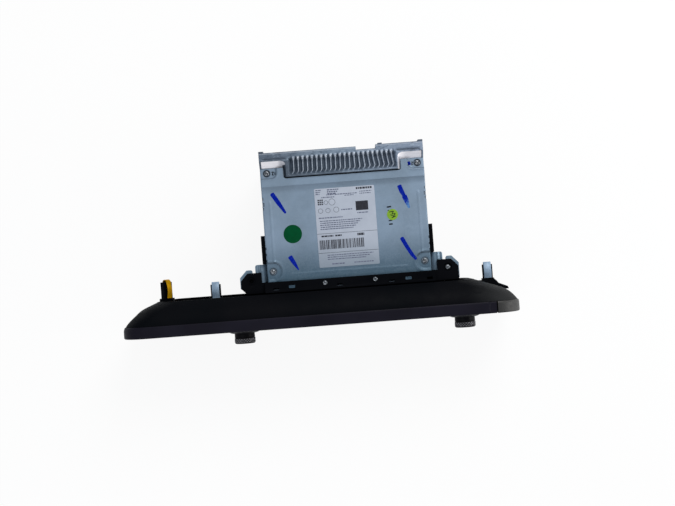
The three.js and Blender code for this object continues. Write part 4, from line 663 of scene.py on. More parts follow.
def cover_sheet():
    """The cover is drawn along a path across it: up one flange, round its bend, over the top and down again.
    The notch and the small side holes are left open, and points near the notch's corners are set on its
    arc."""
    bend, wall, pitch = 1.6, 0.9, 1.35
    foot = span_of("top_cover", "z")[0]
    flange = COVER_TOP - foot
    flat = CHASSIS_HALF - bend
    turn = bend * math.pi / 2
    reach = flat + turn + flange - bend
    fine_x = np.arange(76.6, 87.2, 0.4)
    corner_x = np.arange(60.5, 64.6, 0.5)
    fine_y = np.concatenate([np.arange(-64.6, -52.4, 0.4), np.arange(41.4, 53.0, 0.4)])
    beyond = np.concatenate([
        np.linspace(flat, flat + turn, 7)[1:], np.linspace(flat + turn, reach, 12)[1:]])
    u = np.concatenate([
        -beyond[::-1], lines(-flat, flat, pitch, -fine_x, fine_x, -corner_x, corner_x), beyond])
    y = lines(COVER_FRONT, COVER_REAR, pitch, fine_y, np.arange(26.0, 34.0, 0.6), [33.6, 34.3, 41.0])
    u, y = np.meshgrid(u, y, indexing="ij")
    over = np.clip(np.abs(u) - flat, 0, turn) / bend
    down = np.maximum(np.abs(u) - flat - turn, 0)
    side = np.sign(u)
    x = np.where(np.abs(u) <= flat, u, side * (flat + bend * np.sin(over)))
    z = COVER_TOP - bend + bend * np.cos(over) - down
    notch = box_distance(x, y, *NOTCH)
    near = (np.abs(notch) < 0.3) & (np.abs(u) < flat) & (y > 41.0) & (y < 45.0)
    step = 0.01
    slope_x = (box_distance(x + step, y, *NOTCH) - notch) / step
    slope_y = (box_distance(x, y + step, *NOTCH) - notch) / step
    x = np.where(near, x - notch * slope_x, x)
    y = np.where(near, y - notch * slope_y, y)
    height = cover_height(x, y) * np.clip((z - foot) / flange, 0, 1)
    upper = np.stack([x, y, z + height], -1)
    normal = np.stack([side * np.sin(over), 0 * x, np.cos(over)], -1)
    lower = upper - wall * normal

    def middle(values):
        return (values[:-1, :-1] + values[1:, :-1] + values[1:, 1:] + values[:-1, 1:]) / 4

    mx, my, mz = middle(x), middle(y), middle(z)
    keep = box_distance(mx, my, *NOTCH) > 0
    for hole_y, half, depth in ((20.7, 1.1, 1.6), (15.1, 2.1, 2.6), (10.0, 1.1, 1.6),
                                (-33.6, 1.1, 1.3), (-40.1, 1.1, 1.3), (-46.6, 1.1, 1.3)):
        keep &= ~((np.abs(mx) > CHASSIS_HALF - depth) & (np.abs(my - hole_y) < half) & (mz > 96.5))
    shells = [sheet(upper, lower, keep)]
    # The hollow value is painted shade in the cover's recesses.
    hollow = [cover_painted_shade(shells[0][0][:, 0], shells[0][0][:, 1])]
    for _, side in SIDES:
        tab = (side * 63.2 - 3.3, side * 63.2 + 3.3)
        shells.append(pad("z", tab, (-77.5, -74.5), (99.4, 102.6), 0.8, 0.25, dish=1.2))
        hollow.append(np.zeros(len(shells[-1][0])))
    piece("cover_sheet", shells, STEEL, "zinc_steel", stands_for=["top_cover"], sharp=50,
          hollow=np.concatenate(hollow))


# Heat sink casting

FIN_COUNT = 22
FIN_PITCH = 5.05
FIN_MIDDLE = 1.0
STEP_X = (16.5, 38.0)
WALL_END = 86.3
WALL_FOOT = 46.2
WALL_TOP = 90.0


def casting_height(x, y):
    """Height of the casting: a raised bar whose front edge slopes down to ears at both ends and turns round
    the notch's corners, a groove before the bar, a shallow pocket with rounded fins that slant on the right
    and hook sideways at the front, and a row of knobs where the fins meet the bar. Also gives where
    highlights are painted on its crests, knobs and rear edge, the painted light and shade of its chamfers,
    and the painted shade in its hollows, grooves and the gaps at its edges."""
    side = np.abs(x)
    ear = (61.0 - y) / 7.6
    flank = (side - 60.6) / (2.6 + 4.5 * (1 - ease(61.0 - y, 0.0, 9.0)))
    sharpness = 3.5
    apart = -np.log(np.exp(-sharpness * ear) + np.exp(-sharpness * flank)) / sharpness
    height = 104.0 - 6.4 * np.clip(apart, 0, 1)
    groove = np.exp(-((y - 62.9) / 1.4) ** 2) * ease(side, 58.5, 62.0) * (1 - ease(side, 84.0, 86.5))
    height -= 0.9 * groove
    pocket = box_distance(x, y, (-57.6, 59.6), (44.4, 63.0), 2.0)
    floor = 1 - ease(pocket, -3.4, 0.4)
    phase = (x - FIN_MIDDLE) / FIN_PITCH + 0.5
    phase = phase + 0.5 * (1 - ease(y, 44.8, 50.0)) ** 2 - 0.06 * ease(y, 52.0, 62.0)
    phase = phase - 0.4 * ease(x, 0.0, 40.0) * (1 - ease(y, 47.0, 62.0))
    nearest = np.round(phase)
    offset = phase - nearest
    wave = np.abs(offset)
    among = np.abs(nearest - 0.5) < FIN_COUNT / 2
    ridge = np.where(among, (0.5 + 0.5 * np.cos(TAU * np.clip(wave / 0.78, 0, 0.5))) ** 0.8, 0)
    length = ease(y, 44.9, 46.8) * (1 - ease(y, 61.8, 63.4))
    height = height * (1 - floor) + (99.0 + 3.8 * ridge * length) * floor
    ragged = 0.5 + 0.5 * np.sin(nearest * 2.4 + 1) * np.sin(nearest * 5.1)
    tips = np.where(among, 1 - ease(wave, 0.12, 0.38), 0) * ease(y, 59.8, 61.2) * (1 - ease(y, 62.8, 64.8))
    pits = np.where(among, ease(wave, 0.3, 0.45), 0) * ease(y, 61.0, 62.0) * (1 - ease(y, 63.4, 64.8))
    height += 0.8 * tips * (0.4 + ragged) - 1.0 * pits
    # Painted highlights: a line along each fin's crest, a spot on each knob and a line along the bar's rear
    # edge.
    crest = np.exp(-((offset - 0.04) / 0.1) ** 2) + 0.3 * np.exp(-((offset + 0.33) / 0.06) ** 2)
    edge = np.where((x > STEP_X[0]) & (x < STEP_X[1]), 66.2, np.where(x > STEP_X[1], 70.4, 69.7))
    rear_edge_highlight = 0.5 * np.exp(-((y - edge + 0.9) / 0.4) ** 2)
    painted_highlight = 0.7 * ridge * length * floor * crest + (0.5 + 0.5 * ragged) * tips + rear_edge_highlight
    # Painted light and shade on the chamfers: lit faces take a high tone, the left notch wall a low one.
    outer = ease(side, 64.5, 70.0)
    tone = np.where(x < 0, 0.5 + 0.5 * outer, 0.8 + 0.2 * (1 - ease(x, 66.0, 71.0)))
    inside = side < 64.2
    wall = inside & (y < 56.0)
    tone = tone * np.where(wall, np.where(x < 0, 0.0, 0.6), 1.0)
    sloped = (apart > 0.05) & (apart < 0.99) & (side < 87.0)
    # Painted shade: the dark margin, the black gap lines along the casting's edges, the outer ends, and the
    # valleys, groove and pits.
    level = (apart < 0.05) & inside & (y < np.where(x < 0, 60.0, 50.0))
    margin = level * (1 - floor) * np.where(x < 0, 0.62, 0.25)
    outer_end = (side > 84.8) & (side < 87.4) & (y > 53.8) & (y < 61.5)
    outline = 0.75 * np.maximum(ease(y, edge - 0.1, edge + 0.3), (1 - ease(y, 43.0, 43.8)) * wall)
    hollow = 0.8 * floor * (1 - ridge * length) + 0.8 * groove + 0.9 * pits + 0.9 * (sloped & wall & (x < 0))
    hollow = np.maximum.reduce([hollow, margin, outline, 0.8 * outer_end])
    return height, np.clip(painted_highlight, 0, 1), sloped * tone, np.clip(hollow, 0, 1)


def casting():
    """The fin block and its rear bar, with the walls and the foot that stand below them."""
    pitch, neck = 0.42, 63.2
    x = lines(-CHASSIS_HALF, CHASSIS_HALF, pitch, [-neck, neck, *STEP_X, -87.0, 87.0])
    y = lines(42.7, 73.0, pitch, [53.4, 61.0, 66.6, 70.0, 70.8])
    x, y = np.meshgrid(x, y, indexing="ij")
    height = casting_height(x, y)[0]
    mx = (x[:-1, :-1] + x[1:, 1:]) / 2
    my = (y[:-1, :-1] + y[1:, 1:]) / 2
    keep = (my > 53.4) | (np.abs(mx) < neck)
    rear = 70.1 + 0.7 * (mx > STEP_X[1]) + 1.6 * (np.abs(np.abs(mx) - 86.5) < 2.4)
    rear = np.where((mx > STEP_X[0]) & (mx < STEP_X[1]), 66.6, rear + 1.4 * (np.abs(mx - 42.6) < 2.3))
    keep &= my < rear
    upper = np.stack([x, y, height], -1)
    lower = np.stack([x, y, np.full_like(x, 88.2)], -1)
    top_points, top_faces = sheet(upper, lower, keep)
    lookup, *looks = casting_height(top_points[:, 0], top_points[:, 1])
    on_top = top_points[:, 2] > lookup - 0.05
    shells = [(top_points, top_faces)]
    for a_span, b_span, foot in (
            ((-WALL_END, STEP_X[0]), (65.0, 70.0), WALL_FOOT),
            ((STEP_X[1], WALL_END), (65.0, 70.0), WALL_FOOT), ((16.0, 38.5), (65.0, 66.6), WALL_FOOT),
            ((-WALL_END, -84.2), (41.8, 66.0), WALL_FOOT), ((84.2, WALL_END), (41.8, 66.0), WALL_FOOT),
            ((-26.8, 6.8), (49.7, 55.5), 20.2)):
        shells.append(pad("z", a_span, b_span, (WALL_TOP, foot), 0.9, 0.5))
    for a_span in ((-WALL_END, -63.0), (63.0, WALL_END)):
        shells.append(pad("z", a_span, (41.9, 66.0), (88.9, 97.8), 1.0, 0.5))
    rest = np.zeros(sum(len(points) for points, _ in shells[1:]))
    # The shade value holds painted highlights, the band value painted light and shade on the chamfers, the
    # hollow value painted shade.
    painted_highlight, band, hollow = (np.concatenate([look * on_top, rest]) for look in looks)
    piece("sink_casting", shells, CAST, "cast_alloy", stands_for=["heat_sink"], sharp=60,
          shade=painted_highlight, band=band, hollow=hollow)


# Fascia shells

SIDE_DRAW = {"left": (37.0, 8.0, 1.75), "right": (46.3, 10.0, 1.7), "flat": (13.0, 13.7, 1.9)}
SIDE_SWELL = {"left": (2.6, 31.0, 5.0), "right": (3.6, 26.0, 7.0), "flat": (0.0, 25.0, 5.0)}


def drawn_in(side, depth):
    """How far a side of the fascia is drawn in at a depth: reach times a power of the share of the way back,
    less a bell-shaped swell."""
    reach, start, power = SIDE_DRAW[side]
    swell, middle, width = SIDE_SWELL[side]
    drawn = reach * np.clip((depth - start) / (FASCIA_DEPTH - start), 0, 1) ** power
    return drawn - swell * math.exp(-((depth - middle) / width) ** 2)


def draw_slope(side, depth):
    """The slope of drawn_in, from a small step back."""
    step = 0.01
    return (drawn_in(side, depth) - drawn_in(side, depth - step)) / step


def fascia_ring(inset, depth, y=None, corner_steps=20, pitch=1.7):
    """Points round the fascia's outline at a depth: four quarter circles joined by evenly divided sides.
    An inset is measured square to the skin."""
    y = FASCIA_FRONT + depth if y is None else y
    left, right, flat = (
        drawn_in(side, depth) + inset * math.hypot(1, draw_slope(side, depth)) for side in SIDE_DRAW)
    x0, x1 = FASCIA_X[0] + left, FASCIA_X[1] - right
    z0, z1 = FASCIA_Z[0] + flat, FASCIA_Z[1] - flat
    outline = rounded_outline((x0, x1), (z0, z1), FASCIA_CORNER - inset, corner_steps)
    corners = outline.reshape(4, -1, 2)
    divisions = (
        round((FASCIA_Z[1] - FASCIA_Z[0] - 2 * FASCIA_CORNER) / pitch / 2),
        round((FASCIA_X[1] - FASCIA_X[0] - 2 * FASCIA_CORNER) / pitch))
    parts = []
    for k in range(4):
        share = np.linspace(0, 1, divisions[k % 2] + 1)[1:-1, None]
        here, there = corners[k][-1], corners[(k + 1) % 4][0]
        parts += [corners[k], here + (there - here) * share]
    ring = np.concatenate(parts)
    return np.stack([ring[:, 0], np.full(len(ring), y), ring[:, 1]], 1)


def shroud():
    """The shroud is a loop carried round the fascia: the outer skin from front to rear, a rounded rim,
    the inner skin back again. A faint oval stands on its upper right."""
    wall, skin, front, rim_height = 2.5, 0.8, 13.0, 0.9
    rear = FASCIA_DEPTH - rim_height
    outer = [fascia_ring(skin, depth) for depth in np.linspace(front, rear, 60)]
    rim = [
        fascia_ring(skin + wall / 2 * (1 - math.cos(turn)), rear,
                    FASCIA_FRONT + rear + rim_height * math.sin(turn))
        for turn in np.linspace(0, math.pi, 8)[1:-1]]
    inner = [fascia_ring(skin + wall, depth) for depth in np.linspace(rear, front, 16)]
    points = np.stack(outer + rim + inner)
    near = np.hypot((points[..., 0] - 137.0) / 6.2, (points[..., 1] + 93.0) / 4.2)
    points[..., 2] += np.where(points[..., 2] > 90, 0.5 * np.exp(-((near - 1) / 0.12) ** 2), 0)
    rows, columns, _ = points.shape
    piece("fascia_shroud_skin", [closed(points, quads(rows, columns, True, True))],
          SHROUD_BLACK, "shroud_plastic", stands_for=["fascia_shroud"], sharp=45)


def ring_loop(depth, inset, cut, outer_end, count):
    """Part of the fascia's outline on one side of a cut across it, divided evenly into a count of points."""
    ring = fascia_ring(inset, depth, corner_steps=30, pitch=1.0)
    start = np.argmin(ring[:, 0]) if outer_end else np.argmax(ring[:, 0])
    ring = np.roll(ring, -start, axis=0)
    beyond = (ring[:, 0] > cut) == outer_end
    enter_at, leave_at = np.flatnonzero(np.diff(beyond.astype(int)))[[0, -1]]

    def crossing(k):
        share = (cut - ring[k, 0]) / (ring[k + 1, 0] - ring[k, 0])
        return ring[k] + share * (ring[k + 1] - ring[k])

    chosen = np.concatenate([[crossing(enter_at)], ring[enter_at + 1:leave_at + 1], [crossing(leave_at)]])
    run = np.concatenate([[0], np.cumsum(np.linalg.norm(np.diff(chosen, axis=0), axis=1))])
    even = np.linspace(0, run[-1], count)
    return np.stack([np.interp(even, run, chosen[:, k]) for k in range(3)], 1)


def trim(name, cut, outer_end, material, slot, node):
    """A band carried round the fascia's front: front edge rounded, outer skin, rear face and inner wall.
    The band's section is the loop, and its two cut ends are closed. Along the top the front band eases down
    a little just before its cut."""
    edge, wall, chamfer = 1.6, 7.0, 0.3
    turn = np.linspace(0, math.pi / 2, 7)
    section = [(edge * (1 - math.sin(t)), edge * (1 - math.cos(t))) for t in turn]
    section += [(0.0, depth) for depth in np.linspace(3, RING_DEPTH - 0.4, 6)]
    section += [(chamfer, RING_DEPTH), (wall, RING_DEPTH), (wall, chamfer), (wall - chamfer, 0.0)]
    rows = [ring_loop(depth, inset, cut, outer_end, 180 if outer_end else 620) for inset, depth in section]
    points = np.stack(rows, axis=1)
    if not outer_end:
        share = ease(points[..., 0], cut - 8.5, cut - 6.5)
        points[..., 2] -= 1.3 * share * (points[..., 2] > 60)
    piece(name, [loft(points)], material, slot, stands_for=[node], sharp=40)


def front_collar(x):
    """The flared collar round a knob, turned from a loop: bore, lip, sweeping flank and foot."""
    bore, lip, foot, height = 11.9, 12.9, 24.0, 6.8
    tip = PANEL_FRONT - height - 0.1
    share = np.linspace(1, 0, 24)
    flank = np.stack([lip + (foot - lip) * (1 - share) ** 0.62, PANEL_FRONT - height * share], 1)
    profile = np.concatenate([[(bore, PANEL_FRONT + 0.5), (bore, tip + 0.3), (bore + 0.3, tip)], flank[1:],
                              [(foot + 0.4, PANEL_FRONT + 0.4)]])
    return lathe("y", (x, KNOB_Z), profile, 96, loop=True)


# Knobs and keys

def knob(word):
    """The knob's skin: a slightly dished face, a rounded edge, the seat of the grip, a smooth neck and a
    hollow rear."""
    face, rear = span_of(word + "_knob", "y")
    rim, edge_radius = 10.4, 0.9
    dish = [(r, face + 0.35 * (1 - (r / rim) ** 2)) for r in np.linspace(0, rim, 12)]
    edge = [
        (rim + edge_radius * math.sin(t), face + edge_radius * (1 - math.cos(t)))
        for t in np.linspace(0.2, math.pi / 2, 5)]
    profile = dish + edge + [
        (10.5, face + 0.9), (10.5, face + 7.0), (11.55, face + 7.0), (11.6, face + 7.3), (11.15, rear - 0.3),
        (10.9, rear), (9.6, rear), (9.3, face + 7.5), (9.0, face + 2.6), (0, face + 2.4)]
    piece(word + "_knob_skin", [lathe("y", (KNOB_X[word], KNOB_Z), profile, 96)], KNOB_BLACK, "knob_plastic",
          body=word + "_knob", stands_for=[word + "_knob"], sharp=30)
    knurl(word)


def knurl(word):
    """The grip: two families of slanting grooves cross round a band, and each point's radius is the lesser of
    their two waves, so that small diamonds stand between the grooves."""
    sides, rows, length = 504, 33, 6.0
    count, pitch = 24, 3.0
    front, middle = KNOB_FACE + 0.7, (KNOB_X[word], KNOB_Z)
    turn = full_turn(sides)
    along = np.linspace(0, length, rows)[:, None]
    waves = [np.abs(((count * turn / TAU + way * along / pitch) % 1) - 0.5) * 2 for way in (1, -1)]
    diamond = 1 - np.maximum(*waves)
    from_front, from_rear = ease(along, 0, 0.5), ease(along, length, length - 0.5)
    edge = 0.35 * (1 - from_front) + 0.35 * (1 - from_rear)
    raised = ease(diamond, 0.1, 0.85) * from_front * from_rear
    outer = to_axis("y", *on_circle(middle, 11.45 - edge + 0.5 * raised, turn), front + along)
    inner = to_axis("y", *on_circle(middle, 10.6, turn), front + np.array([[length], [0.0]]))
    # The shade value marks the diamond tops, where the finish paints its highlight.
    shade = np.concatenate([raised, np.zeros((2, sides))]).ravel()
    shell = closed(np.concatenate([outer, inner]), quads(rows + 2, sides, True, True))
    piece(word + "_knurled_grip", [shell], GRIP_METAL, "grip_metal",
          body=word + "_knob", stands_for=[word + "_knob_grip"], sharp=60, shade=shade)


def key_cap(word, number):
    """A key: a soft-edged cap with a crowned face, on the flange and stem that carry it."""
    name = f"{word}_key_{number}"
    x, z = middle_of(name, "xz")

    def block(half_x, half_z, near, far, radius, edge, crown=0.0):
        return pad("y", (x - half_x, x + half_x), (z - half_z, z + half_z),
                   (PANEL_FRONT + near, PANEL_FRONT + far), radius, edge, crown)

    shells = [
        block(13, 5.8, 3.0, -0.95, 1.6, 0.7, 0.25), block(13.8, 6.6, 2.8, 3.9, 0.6, 0.2),
        block(2.4, 2.4, 3.6, 11.3, 2.3, 0.3)]
    piece(name + "_cap", shells, KEY_BLACK, "key_plastic", body=name, stands_for=[name], sharp=35)


# Screws

def screw(node, axis, seat, way, head=COVER_SCREW_RADIUS):
    """A pan head with a cross cut into it: the height over radius and turn is a dome less the depth of two
    bars that cross, and a plain shank runs the other way."""
    sides, rings = 64, 22
    middle = middle_of(node, "yz" if axis == "x" else "xy")
    radius = head * np.linspace(0, 1, rings)[:, None]
    turn = full_turn(sides) + 0.5
    across, along = np.abs(on_circle((0, 0), radius, turn - 0.9))
    dome = 1.55 * np.sqrt(np.clip(1 - (radius / head) ** 4, 0.0, 1)) + 0 * turn
    bar = np.minimum(np.maximum(across / 1.4, along / 0.36), np.maximum(along / 1.4, across / 0.36))
    height = np.maximum(dome - 0.8 * (1 - ease(bar, 0.8, 1.25)) * (1 - 0.5 * radius / head), 0)
    over = to_axis(axis, *on_circle(middle, radius, turn), seat + way * height)
    under = to_axis(axis, *on_circle(middle, radius[::-1], turn), np.full((rings, sides), seat))
    points = np.concatenate([over, under[1:]])
    shank = [
        (r, seat - way * depth) for r, depth in ((0, 6.8), (1.0, 6.8), (1.35, 6.2), (1.35, 0.1), (0, 0.1))]
    shells = [closed(points, quads(len(points), sides, False, True)), lathe(axis, middle, shank, 24)]
    piece(node + "_head", shells, SCREW_STEEL, "screw_steel", stands_for=[node], sharp=40)


def screws():
    """All nine screws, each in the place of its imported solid."""
    for word, side in SIDES:
        screw("cover_screw_rear_" + word, "z", 99.5, 1)
        screw("cover_screw_front_" + word, "z", 100.3, 1)
        screw("frame_screw_" + word, "z", 103.6, 1, FRAME_SCREW_RADIUS)
        screw("bracket_screw_" + word, "x", side * 94.2, side)
    screw("ear_screw_right", "z", 94.5, 1)


# Brackets and clips

def bracket(word, side):
    """A sheet carried along a path: up the chassis wall, round the bend and out under the ear. Its front and
    rear edges are functions of the way along the path, which gives the tongue, the notch and the slanted
    outer edge."""
    inner, outer = span_of("right_bracket", "x")
    foot, top = span_of("right_bracket", "z")
    wall, bend, up_count = 1.5, 4.0, 40
    tongue_end, ear_start, ear_level = 102.4, 105.6, 112.2
    centre_x, centre_z = inner + wall + bend, top - wall - bend
    up = np.linspace(foot, centre_z, up_count)
    arc = np.linspace(math.pi, math.pi / 2, 14)[1:]
    steps = [edge + off for edge in (tongue_end, ear_start) for off in (-0.02, 0.02)]
    out = lines(centre_x, outer, 0.45, steps, ear_level)[1:]
    flat_from = up_count + len(arc)
    out_radius = bend + wall
    x = np.concatenate([np.full(up_count, inner), centre_x + out_radius * np.cos(arc), out])
    z = np.concatenate([up, centre_z + out_radius * np.sin(arc), np.full(len(out), top)])
    nx = np.concatenate([np.full(up_count, 1.0), -np.cos(arc), np.zeros(len(out))])
    nz = np.concatenate([np.zeros(up_count), -np.sin(arc), np.full(len(out), -1.0)])
    rear = np.interp(
        x, [inner, tongue_end, tongue_end + 0.01, ear_start - 0.01, ear_start, ear_level, outer],
        [-50.0, -50.0, -60.2, -60.2, -55.2, -55.2, -63.1])
    tongue_corner = np.clip((x - 100.0) / 2.4, 0, 1)
    ear_corner = np.clip((107.8 - x) / 2.2, 0, 1) * (x > ear_start - 0.005)
    corner = np.where(x < tongue_end + 0.005, tongue_corner, ear_corner)
    rear = rear - 2.3 * (1 - np.sqrt(1 - corner ** 2))
    ridge = 1.1 * np.exp(-((x - 97.4) / 1.1) ** 2) - 0.5 * np.exp(-((x - 99.8) / 0.9) ** 2)
    ridge = np.where(np.arange(len(x)) >= flat_from, ridge + 0.5 * np.exp(-((x - 101.6) / 0.8) ** 2), 0)
    front = np.interp(x, [inner, 92.6, 94.8, 94.81, 113.0, outer],
                      [-69.4, -69.4, -73.0, -79.5, -79.5, -75.0 if side < 0 else -79.5])
    share = np.linspace(0, 1, 40)[None]
    y = front[:, None] + (rear - front)[:, None] * share
    z = z[:, None] + ridge[:, None] * ease(y, -60.4, -58.0)
    upper = np.stack([side * x[:, None] + 0 * y, y, z], -1)
    lower = np.stack([side * (x + wall * nx)[:, None] + 0 * y, y, z + (wall * nz)[:, None]], -1)
    mx, my = (x[1:] + x[:-1])[:, None] / 2, (y[1:, 1:] + y[:-1, :-1]) / 2
    off_hole = np.hypot(mx - EAR_HOLE[0], my - EAR_HOLE[1]) > 2.5
    keep = off_hole | (np.arange(len(x) - 1) < flat_from)[:, None]
    piece(word + "_bracket_sheet", [sheet(upper, lower, keep)], BRACKET_STEEL, "zinc_steel",
          stands_for=[word + "_bracket"], sharp=35)


def clip(name, place, thickness, width, turn, material, slot):
    """A strip folded over its blade: both arms bow outwards as a sine of the way along, and the tip is round.
    The strip's edges are eased by drawing the outer rings in."""
    (x, z), (root, tip) = place, span_of(name, "y")
    skin, bulge = 0.7, 1.7
    half = thickness / 2 + 0.35
    share = np.linspace(0, 1, 40)
    nose = np.linspace(math.pi / 2, -math.pi / 2, 16)[1:-1]
    reach = tip - root - half * 0.8 - skin
    arm_y = root + reach * share
    arm_z = half + bulge * np.sin(math.pi * share) ** 1.2
    path_y = np.concatenate([arm_y, root + reach + half * 0.8 * np.cos(nose), arm_y[::-1]])
    path_z = np.concatenate([arm_z, half * np.sin(nose), -arm_z[::-1]])
    step_y, step_z = np.gradient(path_y), np.gradient(path_z)
    size = np.hypot(step_y, step_z)
    out_y, out_z = -step_z / size, step_y / size
    loops = []
    left, right = -width / 2, width / 2
    for across, inset in ((left, 0.22), (left + 0.1, 0.08), (left + 0.3, 0),
                          (right - 0.3, 0), (right - 0.1, 0.08), (right, 0.22)):
        outer = np.stack([path_y + out_y * (skin - inset), path_z + out_z * (skin - inset)], 1)
        inner = np.stack([path_y + out_y * inset, path_z + out_z * inset], 1)[::-1]
        loop = np.concatenate([outer, inner])
        loops.append(np.stack([np.full(len(loop), across), loop[:, 0], loop[:, 1]], 1))
    rings = np.stack(loops)
    count = rings.shape[1]
    strip = np.arange(count // 2 - 1)
    cap = np.stack([strip, strip + 1, count - 2 - strip, count - 1 - strip], 1)
    last = (len(loops) - 1) * count
    points = rings.reshape(-1, 3)
    cos, sin = math.cos(turn), math.sin(turn)
    placed = np.stack([x + points[:, 0] * cos + points[:, 2] * sin, points[:, 1],
                       z - points[:, 0] * sin + points[:, 2] * cos], 1)
    shell = closed(placed, quads(len(loops), count, wrap_columns=True), cap, cap[:, ::-1] + last)
    piece(name + "_strip", [shell], material, slot, stands_for=[name], sharp=50)


# Labels and marks on the cover

def flat_marks(name, boxes, material):
    """Thin flat rectangles printed on the label, each x0, x1, y0, y1."""
    boxes = np.asarray(boxes, float)
    x0, x1, y0, y1 = boxes.T
    low, high = (np.full(len(boxes), LABEL_INK + rise) for rise in (0, 0.02))
    corners = [
        np.stack([x, y, z], 1) for z in (low, high) for x, y in ((x0, y0), (x1, y0), (x1, y1), (x0, y1))]
    start = 8 * np.arange(len(boxes))[:, None, None]
    cube = np.array([(3, 2, 1, 0), (4, 5, 6, 7), (0, 1, 5, 4), (1, 2, 6, 5), (2, 3, 7, 6), (3, 0, 4, 7)])
    shell = closed(np.stack(corners, 1), (cube[None] + start).reshape(-1, 4))
    piece(name, [shell], material, "label_paper")


def ring_mark(x, y, radius):
    """A printed circle."""
    line, top = 0.35, LABEL_INK + 0.02
    profile = [(radius, LABEL_INK), (radius, top), (radius - line, top), (radius - line, LABEL_INK)]
    return lathe("z", (x, y), profile, 40, loop=True)


def dash_rows(draw, table):
    """Dashes of drawn lengths along printed rows, each x, y, length, height and maybe a gap."""
    dashes = []
    for x, y, length, height, *rest in table:
        gap = rest[0] if rest else 0.55
        at = x
        while at < x + length:
            dash = float(draw.uniform(0.8, 3.2))
            dashes.append((at, min(at + dash, x + length), y - 0.6 * height, y + 0.6 * height))
            at += dash + gap
    return dashes


def labels():
    """The paper label with printed rules, dashes, bars and a plain square, and the two round stickers."""
    draw = np.random.default_rng(7)
    paper = pad("z", span_of("rating_label", "x"), span_of("rating_label", "y"), (100.08, 100.3), 1.2, 0.08)
    piece("label_sheet", [paper], PAPER, "label_paper", stands_for=["rating_label"])
    table = [
        (x, y, length * (1 - 0.12 * line), height)
        for x, length, height in ((-30.5, 6.0, 0.9), (-18.0, 12.5, 1.1))
        for line, y in enumerate((25.6, 23.4, 21.4))]
    table += [
        (-19.0, 20.2, 33, 0.9), (-24.5, 17.6, 14, 1.0), (0.5, 18.4, 10, 0.7), (17, 21.6, 13, 0.8),
        (17, 19.4, 12, 0.8), (-29.0, -4.6, 26, 1.0), (-4.0, 3.2, 12, 1.0), (13.0, -1.4, 12, 0.9)]
    table += [(-28.0 + 0.4 * (line % 2), -8.0 - 2.2 * line, 46 - 2.5 * line, 0.9, 0.5) for line in range(5)]
    table += [(-22.5, -45.2 - 2.2 * line, 50 - 4 * line, 0.8, 0.5) for line in range(3)]
    table += [(-18.0, -54.8, 14, 1.1), (6.0, -54.6, 21, 0.9)]
    flat_marks("label_rows", dash_rows(draw, table), PALE_PRINT)
    dark = dash_rows(draw, [
        (-27.5, -24.4, 13, 1.4, 0.4), (-12.5, -24.4, 7, 1.4, 0.4), (11.5, -24.6, 7.5, 2.2, 0.35),
        (13.5, 25.2, 17.5, 1.8, 0.6)])
    at = -30.0
    while at < 18.6:
        width = float(draw.choice([0.35, 0.5, 0.8, 1.1]))
        dark.append((at, at + width, -38.6, -28.6))
        at += width + float(draw.choice([0.4, 0.6, 0.9]))
    dark.append((12.0, 25.4, 1.2, 11.2))
    dark += [
        (-28.9 + 2.1 * i, -27.3 + 2.1 * i, 9.6 + 2.2 * j, 11.2 + 2.2 * j) for i in range(3) for j in range(3)]
    dark += [(-31.8, 33.2, y - 0.18, y + 0.18) for y in (-21.6, -42.5)]
    flat_marks("label_bars", dark, PRINT)
    rings = [ring_mark(*place) for place in (
        (-13.5, 12.2, 3.6), (-9.4, 3.6, 3.0), (-20.0, 12.0, 2.2), (-26.4, 3.2, 2.6), (-18.4, 3.2, 2.6))]
    piece("label_rings", rings, PRINT, "label_paper")
    for word, material in (("green", GREEN_PAPER), ("lime", LIME_PAPER)):
        node = word + "_sticker"
        low, high = span_of(node, "x")
        radius = round((high - low) / 2, 2)
        profile = [(0, ON_COVER), (radius - 0.1, ON_COVER), (radius, 100.12), (radius - 0.08, 100.24),
                   (radius * 0.7, 100.27), (0, 100.27)]
        piece(node + "_disc", [lathe("z", middle_of(node, "xy"), profile, 96)], material, word + "_paper",
              stands_for=[node])


def stroke(points, widths, fade, height=ON_COVER):
    """A pen stroke: a smooth curve through points, with a width and a fade that are interpolated along it.
    The stroke is a thin closed band, rounded off at both ends. Gives the shell and its fade per point."""
    points = np.asarray(points, float)
    fine = np.linspace(0, 1, 60)

    def spread(values):
        return np.interp(fine, np.linspace(0, 1, len(values)), values)

    curve = np.stack([spread(points[:, k]) for k in (0, 1)], 1)
    for _ in range(6):
        curve[1:-1] = (curve[:-2] + 2 * curve[1:-1] + curve[2:]) / 4
    step = np.gradient(curve, axis=0)
    out = np.stack([-step[:, 1], step[:, 0]], 1) / np.hypot(step[:, 0], step[:, 1])[:, None]
    ends = np.sqrt(np.clip(1 - (1 - np.minimum(fine, 1 - fine) / 0.05).clip(0) ** 2, 0.04, 1))
    ripple = 1 + 0.05 * np.sin(fine * 61) + 0.04 * np.sin(fine * 143 + 1)
    half = spread(widths) / 2 * ends * ripple
    rings = []
    for across, up in ((-1, 0), (-1, 0.03), (0, 0.035), (1, 0.03), (1, 0)):
        place = curve + out * (half * across)[:, None]
        lift = height + up + cover_height(place[:, 0], place[:, 1])
        rings.append(np.stack([place[:, 0], place[:, 1], lift], 1))
    rings = np.stack(rings, 1)
    shade = np.repeat(spread(fade), rings.shape[1])
    shade = np.concatenate([shade, shade[:1], shade[-1:]])
    return loft(rings), shade


